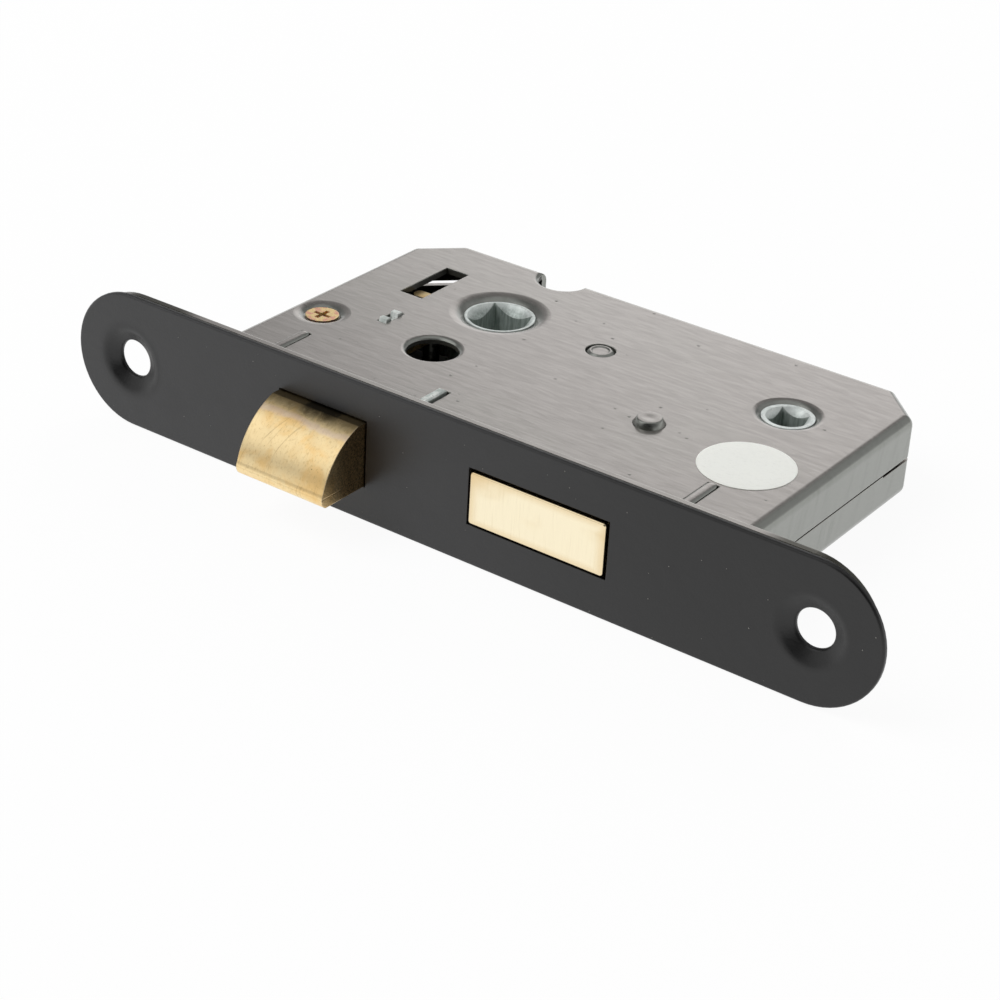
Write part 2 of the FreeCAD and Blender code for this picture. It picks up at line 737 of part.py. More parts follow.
def make_posts():
    """The rear post ends in a rolled rivet, the front one stands proud and guides the
    bolt's tail, and the third takes the cover's screw."""
    rim, pit = f"({HALF} + rivet_rise)", f"({HALF} - rivet_dip)"
    make_post("post_rear", "post_rear_x", "post_rear_y", "post_rear", [
        ("post_rear / 2", f"{HALF} - rivet_sink"), ("rivet_rim", rim),
        ("(rivet_rim + rivet_pit) / 2", rim), ("rivet_pit", pit), ("0", pit)])
    proud = f"({HALF} + post_front_rise)"
    post = make_post("post_front", "post_front_x", "post_front_y", "post_front", [
        ("post_front / 2", f"{HALF} + post_front_step"),
        ("post_front / 2 - post_front_slope", proud), ("0", proud)])
    top = number(proud)
    post.round_edges("post_front_round", lambda edge: at_level(edge, "Z", top))
    post = make_post("screw_post", SCREW_X, "screw_y", "screw_post", [
        ("screw_post / 2", INSIDE), ("0", INSIDE)])
    bore = post.cut("XY_Plane", f"{INSIDE} - screw_length", INSIDE)
    bore.circle(SCREW_X, "screw_y", "screw_shank + 2 * post_fit")


def make_cover_screw():
    """The countersunk screw with a cross recess that holds the cover."""
    piece = Piece("cover_screw")
    top = f"({HALF} - screw_sink)"
    neck = f"({top} - screw_cone)"
    piece.turned("Revolution", SCREW_X, "screw_y", [
        ("0", f"{neck} - screw_length + screw_cone"),
        ("screw_shank / 2", f"{neck} - screw_length + screw_cone"),
        ("screw_shank / 2", neck), ("screw_head / 2", top), ("0", top)])
    cross = piece.cut("XY_Plane", f"{top} - recess_depth", f"{top} + recess_depth")
    arm, span = "(recess_arm / 2)", "(recess_span / 2)"
    corners = [(span, arm), (arm, arm), (arm, span), (f"-{arm}", span), (f"-{arm}", arm),
               (f"-{span}", arm), (f"-{span}", f"-{arm}"), (f"-{arm}", f"-{arm}"),
               (f"-{arm}", f"-{span}"), (arm, f"-{span}"), (arm, f"-{arm}"),
               (span, f"-{arm}")]
    cross.outline([(f"{SCREW_X} + {x}", f"screw_y + {y}") for x, y in corners])


def make_divider_bracket():
    """The plate behind the forend, between latch and bolt, held by a lug in each wall."""
    piece = Piece("divider_bracket")
    inner = f"({INSIDE} - seat_gap)"
    low, high = f"(slot_clearance - {HALF})", f"({HALF} + divider_rise)"
    start = "(divider_slot_start + slot_clearance)"
    end = "(divider_slot_start + divider_slot_length - divider_end_gap)"
    plate = piece.pad("YZ_Plane", "divider_x - divider_sheet / 2",
                      "divider_x + divider_sheet / 2")
    plate.outline([
        (FOREND, less(inner)), (start, less(inner)), (start, low),
        (end, low), (end, less(inner)), ("divider_end", less(inner)),
        ("divider_end", inner), (end, inner), (end, high), (start, high),
        (start, inner), (FOREND, inner)])
    top = number(high)
    piece.round_edges("divider_round", lambda edge: at_level(edge, "Z", top))


def make_spring_bracket():
    """The bracket that the latch spring pushes against. Its flange reaches under the
    latch's tail, and its tab comes through the cover in two small humps."""
    piece = Piece("spring_bracket")
    inner = f"({INSIDE} - seat_gap)"
    end = "(bracket_start + bracket_length)"
    hump = f"({HALF} + hump_rise)"
    dip = f"({HALF} - hump_dip)"
    shoulder = f"({HALF} - hump_rise)"
    web = piece.pad("YZ_Plane", "bracket_x - bracket_sheet / 2",
                    "bracket_x + bracket_sheet / 2")
    web.outline([
        ("bracket_start", less(shoulder)), (end, less(shoulder)), (end, shoulder),
        (f"{end} - hump_rise", hump), (f"{end} - hump_length + hump_rise", hump),
        (f"{end} - hump_length", dip), ("bracket_start + hump_length", dip),
        ("bracket_start + hump_length - hump_rise", hump),
        ("bracket_start + hump_rise", hump), ("bracket_start", shoulder)])
    flange = piece.pad("XZ_Plane", "bracket_start", "bracket_start + bracket_sheet")
    flange.box("bracket_x - bracket_sheet / 2", less("tab_drop"),
               f"{LATCH_SPRING_X} + latch_spring / 2", "tab_drop")


# Latch

def make_latch_head():
    """The bevelled brass head. A shoulder behind the forend stops it, and a tongue at
    the rear carries the tail."""
    piece = Piece("latch_head")
    half = "latch_thickness / 2"
    nose_top = f"(nose_band - {half})"
    left, right = "latch_x - latch_width / 2", "latch_x + latch_width / 2"
    shoulder = f"({FOREND} + seat_gap)"
    profile = piece.pad("YZ_Plane", left, right)
    profile.outline([
        (HEAD_REAR, less(half)), (HEAD_REAR, half), ("-bevel_start", half),
        ("-latch_reach", nose_top), ("nose_underside - latch_reach", less(half))],
        {2: ("bevel_radius", -1), 3: ("nose_band_radius", -1)})
    stop = piece.pad("XZ_Plane", shoulder, HEAD_REAR)
    stop.box(f"{left} - shoulder_overlap", less(half),
             f"{right} + shoulder_overlap", half)
    tongue = piece.pad("XZ_Plane", f"{HEAD_REAR} - shoulder_length / 2",
                       f"{HEAD_REAR} + tongue_length")
    tongue.box(left, less(half), f"{left} + tongue_width", "tail_low")
    for row in LATCH_RIVET_ROWS:
        hole = piece.cut("XY_Plane", less(half), half)
        hole.circle(LATCH_RIVET_X, row, "latch_rivet + 2 * post_fit")


def make_latch_tail():
    """The brass strip from the head to the lug that the lever follower's arm pushes. A
    tab behind the head takes the spring."""
    piece = Piece("latch_tail")
    lug_rear = "(lug_front + lug_thick)"
    lug_left = f"({WINDOW_LEFT} + slot_clearance * 2)"
    strip = piece.pad("XY_Plane", "tail_low", TAIL_TOP)
    strip.outline([
        (TAIL_LEFT, "tail_front"), (TAIL_RIGHT, "tail_front"), (TAIL_RIGHT, lug_rear),
        (lug_left, lug_rear), (lug_left, "lug_front"), (TAIL_LEFT, "lug_front")])
    lug = piece.pad("XZ_Plane", "lug_front", lug_rear)
    lug.box(lug_left, less("lug_drop"), f"{lug_left} + lug_width", "lug_top")
    tab = piece.pad("XZ_Plane", TAB_FRONT, TAB_REAR)
    tab.box(f"{LATCH_SPRING_X} - latch_spring / 2", less("tab_drop"),
            f"{LATCH_SPRING_X} + latch_spring / 2", TAIL_TOP)
    for row in LATCH_RIVET_ROWS:
        hole = piece.cut("XY_Plane", less(TAIL_TOP), f"2 * {TAIL_TOP}")
        hole.circle(LATCH_RIVET_X, row, "latch_rivet + 2 * post_fit")
    top = number("lug_top")
    piece.round_edges("lug_round", lambda edge: edge.BoundBox.ZMax > top - TOUCH
                      and edge.BoundBox.YLength < TOUCH and edge.BoundBox.XLength < TOUCH
                      and edge.BoundBox.ZLength > TOUCH)


def rivet_group(label, places, diameter, low, high):
    """Make a set of like rivets as one group of solids."""
    rivets = []
    for x, y in places:
        start = vector(x, y, low)
        length = number(high) - number(low)
        rivets.append(Part.makeCylinder(number(diameter) / 2, length, start))
    loose_piece(label, Part.makeCompound(rivets))


def make_latch_rivets():
    """The two rivets that hold the tail on the latch head."""
    rivet_group("latch_rivets", [(LATCH_RIVET_X, row) for row in LATCH_RIVET_ROWS],
                "latch_rivet", "-latch_thickness / 2", TAIL_TOP)


def make_latch_spring():
    """The coil between the tail's tab and the bracket, drawn at its resting length."""
    wire = number("latch_spring_wire")
    start = number(f"{TAB_REAR} + end_gap") + wire / 2
    end = number("bracket_start - end_gap") - wire / 2
    turns = number("latch_spring_turns")
    shape = coil(number("latch_spring"), wire, (end - start) / turns, turns)
    spring = loose_piece("latch_spring", shape)
    spring.Placement = FreeCAD.Placement(
        FreeCAD.Vector(number(LATCH_SPRING_X), start, 0),
        FreeCAD.Rotation(FreeCAD.Vector(1, 0, 0), -90))


# Lever follower

def square_socket(piece, x, square, journal_end, lead):
    """Cut a square spindle socket through a follower, with a conical lead at each end."""
    half = f"(({square} + square_clearance) / 2)"
    socket = piece.cut("XY_Plane", less("case_thickness"), "case_thickness")
    socket.box(f"{x} - {half}", f"backset - {half}", f"{x} + {half}", f"backset + {half}")
    for side in ("", "-"):
        mouth = f"{side}{journal_end}"
        floor = f"{side}({journal_end} - {lead})"
        piece.turned("Groove", x, "backset", [
            ("0", mouth), (f"{half} + {lead}", mouth), (half, floor), ("0", floor)])


def follower_arm(piece, x, nose_x, nose_y, length, width, thick):
    """Pad a straight arm from a follower's axis to its nose, and the round nose."""
    away_x, away_y = f"(({nose_x} - {x}) / {length})", f"(({nose_y} - backset) / {length})"
    half = f"({width} / 2)"
    low, high = less(f"{thick} / 2"), f"{thick} / 2"
    bar = piece.pad("XY_Plane", low, high)
    bar.outline([
        (f"{x} - {away_y} * {half}", f"backset + {away_x} * {half}"),
        (f"{x} + {away_y} * {half}", f"backset - {away_x} * {half}"),
        (f"{nose_x} + {away_y} * {half}", f"{nose_y} - {away_x} * {half}"),
        (f"{nose_x} - {away_y} * {half}", f"{nose_y} + {away_x} * {half}")])
    nose = piece.pad("XY_Plane", low, high)
    nose.circle(nose_x, nose_y, "2 * nose_radius")


def make_lever_follower():
    """The cast follower that the lever's spindle turns."""
    piece = Piece("lever_follower")
    journal, web = "lever_journal / 2", "lever_web / 2"
    half_web = "web_thickness / 2"
    piece.turned("Revolution", "lever_x", "backset", [
        ("0", less(LEVER_END)), (journal, less(LEVER_END)), (journal, less(half_web)),
        (web, less(half_web)), (web, half_web), (journal, half_web),
        (journal, LEVER_END), ("0", LEVER_END)])
    follower_arm(piece, "lever_x", NOSE_X, NOSE_Y, "lever_arm", "lever_arm_width",
                 "web_thickness")
    square_socket(piece, "lever_x", "lever_square", LEVER_END, "lever_lead")


def make_return_spring():
    """The torsion spring about the follower's lower journal: one leg bears on its pin
    and the other hooks behind the arm."""
    wire = number("return_wire")
    pitch = number("return_pitch")
    outer = number("return_spring") + wire
    floor = number(less(INSIDE)) + wire / 2 + number("end_gap")
    lean = math.atan2(number(NOSE_DROP), number(NOSE_RUN))
    turns = number("return_turns") + lean / math.tau
    mean = (outer - wire) / 2
    centre = vector("lever_x", "backset", "0") + FreeCAD.Vector(0, 0, floor)
    shape = coil(outer, wire, pitch, turns)
    shape.translate(centre)
    start = centre + FreeCAD.Vector(mean, 0, 0)
    fixed = wire_run([start, start - FreeCAD.Vector(0, number("stop_reach"), 0)], wire)
    angle = turns * math.tau
    end = centre + FreeCAD.Vector(
        mean * math.cos(angle), mean * math.sin(angle), pitch * turns)
    away = FreeCAD.Vector(-math.sin(angle), math.cos(angle), 0)
    inwards = FreeCAD.Vector(-math.cos(angle), -math.sin(angle), 0)
    bend = end + away * number("return_leg")
    side = mean - number("nose_radius") - wire / 2 - number("seat_gap")
    hook = bend + away * number("return_hook") + inwards * side
    tip = FreeCAD.Vector(hook.x, hook.y, -number("web_thickness") / 4)
    live = wire_run([end, bend, hook, tip], wire)
    loose_piece("return_spring", shape.fuse([fixed, live]).removeSplitter())


def make_pins():
    """The follower's stop pin, and the pins that the two wire springs bear on."""
    lean = math.atan2(number(NOSE_DROP), number(NOSE_RUN))
    centre = vector("lever_x", "backset", "0")
    radius = number("stop_pin") / 2
    along = FreeCAD.Vector(-math.cos(lean), -math.sin(lean), 0)
    aside = FreeCAD.Vector(math.sin(lean), -math.cos(lean), 0)
    offset = number("nose_radius") + radius + number("end_gap")
    spot = centre + along * number("stop_reach") + aside * offset
    spot.z = number(less(INSIDE))
    tall = number(f"{INSIDE} + web_thickness / 2")
    loose_piece("follower_stop_pin", Part.makeCylinder(radius, tall, spot))
    pin = number("anchor_pin") / 2
    beside = number("return_spring") / 2 + number("return_wire") / 2 + pin
    first = centre + FreeCAD.Vector(
        beside + number("end_gap"), number("anchor_margin - stop_reach"), 0)
    second = vector("post_rear_x", "post_rear_y", "0") + FreeCAD.Vector(
        -number("bolt_spring_pin"),
        -(number("bolt_spring") + number("bolt_spring_wire")) / 2 - pin - number("end_gap"),
        0)
    pins = []
    for place, top in ((first, "-web_thickness / 2"), (second, "bolt_tail_sheet / 2")):
        place.z = number(less(INSIDE))
        pins.append(Part.makeCylinder(pin, number(f"{INSIDE} + {top}"), place))
    loose_piece("spring_pins", Part.makeCompound(pins))


# Dead bolt

def make_bolt_head():
    """The brass bolt head, slotted at the rear for its tail."""
    piece = Piece("bolt_head")
    left, right = "bolt_x - bolt_width / 2", "bolt_x + bolt_width / 2"
    half = "bolt_thickness / 2"
    block = piece.pad("XZ_Plane", "-bolt_rise", BOLT_REAR)
    block.box(left, less(half), right, half)
    face = -number("bolt_rise")
    piece.round_edges("bolt_corner", lambda edge: edge.BoundBox.YMin < face + TOUCH
                      and edge.BoundBox.XLength < TOUCH and edge.BoundBox.ZLength < TOUCH)
    piece.round_edges("bolt_edge", lambda edge: at_level(edge, "Y", face))
    fork = piece.cut("XZ_Plane", FORK_FRONT, f"{BOLT_REAR} + fork_depth")
    slot_half = "(bolt_tail_sheet / 2 + fork_gap)"
    fork.box(f"{left} - fork_depth", less(slot_half), f"{right} + fork_depth", slot_half)
    holes = piece.cut("XY_Plane", less("bolt_thickness"), "bolt_thickness")
    for x, y in bolt_rivet_places():
        holes.circle(x, y, "bolt_rivet + 2 * post_fit")


def bolt_rivet_places():
    """Return where the two rivets of the bolt stand."""
    row = f"({BOLT_REAR} - fork_depth / 2)"
    return [("bolt_x - bolt_rivet_left", row), ("bolt_x + bolt_rivet_right", row)]


def make_bolt_tail():
    """The steel tail plate, with a slot that runs on the front post, a notch for the
    bathroom follower's nose and two shallow dents for the spring."""
    piece = Piece("bolt_tail")
    low, high = less("bolt_tail_sheet / 2"), "bolt_tail_sheet / 2"
    slack = "(nose_radius + drive_slack)"
    deep = f"({BATHROOM_X} - bathroom_arm - nose_radius - notch_reach)"
    mouth = f"({BATH_NOSE_X} - notch_lead)"
    front = f"({FORK_FRONT} + fork_gap)"
    first, half = "post_rear_y", "detent_half"
    second = "(post_rear_y + bolt_throw)"
    dent = "(bolt_tail_low + detent_depth)"
    plate = piece.pad("XY_Plane", low, high)
    plate.outline([
        ("bolt_tail_low", front), (BOLT_TAIL_RIGHT, front),
        (BOLT_TAIL_RIGHT, f"{BATH_NOSE_Y} - {slack} - notch_flare"),
        (mouth, f"{BATH_NOSE_Y} - {slack}"), (deep, f"{BATH_NOSE_Y} - {slack}"),
        (deep, f"{BATH_NOSE_Y} + {slack}"), (mouth, f"{BATH_NOSE_Y} + {slack}"),
        (BOLT_TAIL_RIGHT, f"{BATH_NOSE_Y} + {slack} + notch_flare"),
        (BOLT_TAIL_RIGHT, f"{second} + {half} + bolt_tail_margin"),
        ("bolt_tail_low", f"{second} + {half} + bolt_tail_margin"),
        ("bolt_tail_low", f"{second} + {half}"), (dent, second),
        ("bolt_tail_low", f"{second} - {half}"), ("bolt_tail_low", f"{first} + {half}"),
        (dent, first), ("bolt_tail_low", f"{first} - {half}")])
    slot = piece.cut("XY_Plane", less("bolt_tail_sheet"), "bolt_tail_sheet")
    reach = "(post_front / 2 + guide_gap)"
    slot.racetrack(f"post_front_y - {reach}", f"post_front_y + bolt_throw + {reach}",
                   "post_front_x", f"2 * {reach}", upright=True)
    holes = piece.cut("XY_Plane", less("bolt_tail_sheet"), "bolt_tail_sheet")
    for x, y in bolt_rivet_places():
        holes.circle(x, y, "bolt_rivet + 2 * post_fit")


def make_bolt_rivets():
    """The two rivets that hold the tail in the bolt head."""
    rivet_group("bolt_rivets", bolt_rivet_places(), "bolt_rivet",
                "-bolt_thickness / 2", "bolt_thickness / 2")


def make_bathroom_follower():
    """The small follower that the thumb turn's spindle turns to throw the bolt."""
    piece = Piece("bathroom_follower")
    piece.turned("Revolution", BATHROOM_X, "backset", [
        ("0", less(BATHROOM_END)), ("bathroom_journal / 2", less(BATHROOM_END)),
        ("bathroom_journal / 2", BATHROOM_END), ("0", BATHROOM_END)])
    follower_arm(piece, BATHROOM_X, BATH_NOSE_X, BATH_NOSE_Y, "bathroom_arm",
                 "bathroom_neck", "bolt_tail_sheet")
    square_socket(piece, BATHROOM_X, "bathroom_square", BATHROOM_END, "bathroom_lead")


def make_bolt_spring():
    """The wire spring about the rear post. Its bent end faces the dents in the tail."""
    wire = number("bolt_spring_wire")
    pitch = number("bolt_spring_pitch")
    turns = number("bolt_spring_turns")
    outer = number("bolt_spring") + wire
    mean = (outer - wire) / 2
    centre = vector("post_rear_x", "post_rear_y", "0")
    shape = coil(outer, wire, pitch, turns)
    shape.rotate(FreeCAD.Vector(0, 0, 0), FreeCAD.Vector(0, 0, 1), -90)
    shape.translate(centre - FreeCAD.Vector(0, 0, pitch * turns))
    start = centre + FreeCAD.Vector(0, -mean, -pitch * turns)
    fixed = wire_run([start, start - FreeCAD.Vector(number("bolt_spring_leg"), 0, 0)], wire)
    tip_x = number("bolt_tail_low - bolt_spring_gap") - wire / 2
    reach = number("vee_length")
    low = FreeCAD.Vector(tip_x - number("vee_slope"), centre.y - mean, 0)
    tip = FreeCAD.Vector(tip_x, centre.y, 0)
    high = FreeCAD.Vector(tip_x - number("vee_slope"), centre.y + reach, 0)
    live = wire_run([centre + FreeCAD.Vector(0, -mean, 0), low, tip, high], wire)
    loose_piece("bolt_spring", shape.fuse([fixed, live]).removeSplitter())


def make_label():
    """The round paper label on the cover."""
    piece = Piece("inspection_label")
    disc = piece.pad("XY_Plane", HALF, f"{HALF} + label_thickness")
    disc.circle(LABEL_X, "label_y", "label_diameter")


make_outer_forend()
make_inner_forend()
make_case_cover()
make_case_body()
make_posts()
make_cover_screw()
make_divider_bracket()
make_spring_bracket()
make_latch_head()
make_latch_tail()
make_latch_rivets()
make_latch_spring()
make_lever_follower()
make_return_spring()
make_pins()
make_bolt_head()
make_bolt_tail()
make_bolt_rivets()
make_bathroom_follower()
make_bolt_spring()
make_label()
doc.recompute()

# Every object must be sound before anything is written
pieces = [item for item in doc.Objects
          if item.TypeId in ("PartDesign::Body", "Part::Feature")]
faults = [item.Name for item in doc.Objects
          if "Invalid" in item.State or "Error" in item.State]
faults += [piece.Label for piece in pieces
           if piece.Shape.isNull() or not piece.Shape.isValid() or not piece.Shape.Solids]
if faults:
    raise RuntimeError("These did not build: " + ", ".join(faults))

os.makedirs("parts", exist_ok=True)
for piece in pieces:
    piece.Shape.exportStep(f"parts/{piece.Label}.step")
    print(f"{piece.Label}: {piece.Shape.Volume:.1f} mm3, {len(piece.Shape.Solids)} solid(s)")
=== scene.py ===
"""Looks for a bathroom mortice lock: finishes, wound springs, fastenings, light and camera.

Everything is in metres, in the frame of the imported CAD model: X runs along the forend with the
latch at -X, Y runs from the forend's front face into the case, and Z is the thickness.
"""

import logging
import math
from dataclasses import dataclass, field
from enum import Enum
from typing import Any, Sequence

import bmesh
import bpy
from mathutils import Matrix, Vector

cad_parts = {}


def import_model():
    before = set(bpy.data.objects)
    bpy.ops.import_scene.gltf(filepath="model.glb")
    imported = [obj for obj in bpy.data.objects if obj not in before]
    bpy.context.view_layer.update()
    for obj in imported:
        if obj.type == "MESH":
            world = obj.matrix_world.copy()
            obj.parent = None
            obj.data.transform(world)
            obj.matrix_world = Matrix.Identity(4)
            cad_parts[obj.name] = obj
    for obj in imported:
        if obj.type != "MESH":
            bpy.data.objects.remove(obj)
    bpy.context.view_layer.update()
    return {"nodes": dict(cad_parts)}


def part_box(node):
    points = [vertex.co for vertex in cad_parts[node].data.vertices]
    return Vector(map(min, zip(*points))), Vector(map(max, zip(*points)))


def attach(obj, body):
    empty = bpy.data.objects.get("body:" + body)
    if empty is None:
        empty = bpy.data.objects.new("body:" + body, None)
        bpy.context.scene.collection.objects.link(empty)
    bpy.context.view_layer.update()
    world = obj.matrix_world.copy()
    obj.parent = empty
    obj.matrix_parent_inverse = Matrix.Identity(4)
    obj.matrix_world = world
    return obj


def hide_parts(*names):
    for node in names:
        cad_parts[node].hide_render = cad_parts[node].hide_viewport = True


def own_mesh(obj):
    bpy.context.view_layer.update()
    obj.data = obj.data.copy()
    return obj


LOG = logging.getLogger("bathroom_lock")
MM = 0.001
SAME_PLACE = 0.001 * MM

Color = tuple[float, float, float]
Nodes = dict[str, bpy.types.Object]
Point = tuple[float, float]
Span = tuple[float, float]
Stop = tuple[float, Color]


class Body(Enum):
    """The bodies of the lock that a new piece rides on."""

    CASE = "case"
    LATCH = "latch"
    BOLT = "dead_bolt"


class Grain(Enum):
    """The way that drawing lines run, as cells of their noise to the millimetre."""

    ALONG = (0.3, 2.2, 2.2)
    UPRIGHT = (2.2, 2.2, 0.3)


class Facing(Enum):
    """The side of a plate that specks of paint or dust lie on."""

    FRONT = (0.0, -1.0, 0.0)
    TOP = (0.0, 0.0, 1.0)


def srgb(red: int, green: int, blue: int) -> Color:
    """Turns a colour written as 0 to 255 into the linear values that a shader takes.

    Args:
        red: Red share, 0 to 255.
        green: Green share, 0 to 255.
        blue: Blue share, 0 to 255.

    Returns:
        The linear red, green and blue.
    """

    def linear(value: int) -> float:
        """Returns one share in linear light."""
        share = value / 255.0
        return share / 12.92 if share <= 0.04045 else ((share + 0.055) / 1.055) ** 2.4

    return linear(red), linear(green), linear(blue)


def stand(name: str, data: Any) -> bpy.types.Object:
    """Puts a new object in the scene.

    Args:
        name: The object's name.
        data: Its mesh, lamp or camera.

    Returns:
        The object, at the origin.
    """
    thing = bpy.data.objects.new(name, data)
    bpy.context.scene.collection.objects.link(thing)
    return thing


class Wiring:
    """A node tree, with the short calls that materials, recipes and the room share."""

    def __init__(self, tree: bpy.types.NodeTree) -> None:
        """Takes a tree over and empties it."""
        self.tree = tree
        self.tree.nodes.clear()

    def feed(self, socket: Any, value: Any) -> None:
        """Links a socket to another, or sets it to a plain value.

        Args:
            socket: The input.
            value: An output socket, a number, a vector, a material, or a colour of three.
        """
        if isinstance(value, bpy.types.NodeSocket):
            self.tree.links.new(value, socket)
        elif isinstance(value, tuple) and socket.type == "RGBA":
            socket.default_value = (*value, 1.0)
        else:
            socket.default_value = value

    def add(self, kind: str, inputs: dict[Any, Any] | None = None, **settings: Any) -> Any:
        """Adds one node, sets its properties and feeds its inputs.

        Args:
            kind: The node's type.
            inputs: Names or numbers of inputs, and what each is fed.
            settings: The node's properties.

        Returns:
            The node.
        """
        node = self.tree.nodes.new(kind)
        for name, value in settings.items():
            setattr(node, name, value)
        for name, value in (inputs or {}).items():
            self.feed(node.inputs[name], value)
        return node

    def math(self, kind: str, first: Any, second: Any = 0.0) -> Any:
        """Does one step of arithmetic, such as ADD, on two sockets or numbers."""
        return self.add("ShaderNodeMath", {0: first, 1: second}, operation=kind).outputs[0]

    def times(self, *values: Any) -> Any:
        """Multiplies values together.

        Args:
            values: Sockets or numbers.

        Returns:
            The value socket.
        """
        product = values[0]
        for value in values[1:]:
            product = self.math("MULTIPLY", product, value)
        return product

    def spread(
        self,
        value: Any,
        low: Any,
        high: Any,
        out: Sequence[Any] = (0.0, 1.0),
        way: str = "SMOOTHSTEP",
    ) -> Any:
        """Maps a range of a value onto another, held at its ends.

        Args:
            value: The value socket.
            low: What becomes the first number of out.
            high: What becomes the second number of out.
            out: The range that comes out.
            way: SMOOTHSTEP, or LINEAR.

        Returns:
            The value socket.
        """
        ends = {"From Min": low, "From Max": high, "To Min": out[0], "To Max": out[1]}
        node = self.add("ShaderNodeMapRange", {"Value": value, **ends}, interpolation_type=way)
        return node.outputs["Result"]

    def along(self, vector: Any, way: Any) -> Any:
        """Measures how far a vector of length 1 points one way, from -1 to 1."""
        node = self.add("ShaderNodeVectorMath", {0: vector, 1: way}, operation="DOT_PRODUCT")
        return node.outputs["Value"]

    def split(self, vector: Any) -> tuple[Any, Any, Any]:
        """Takes a vector apart into X, Y and Z."""
        node = self.add("ShaderNodeSeparateXYZ", {"Vector": vector})
        return node.outputs["X"], node.outputs["Y"], node.outputs["Z"]


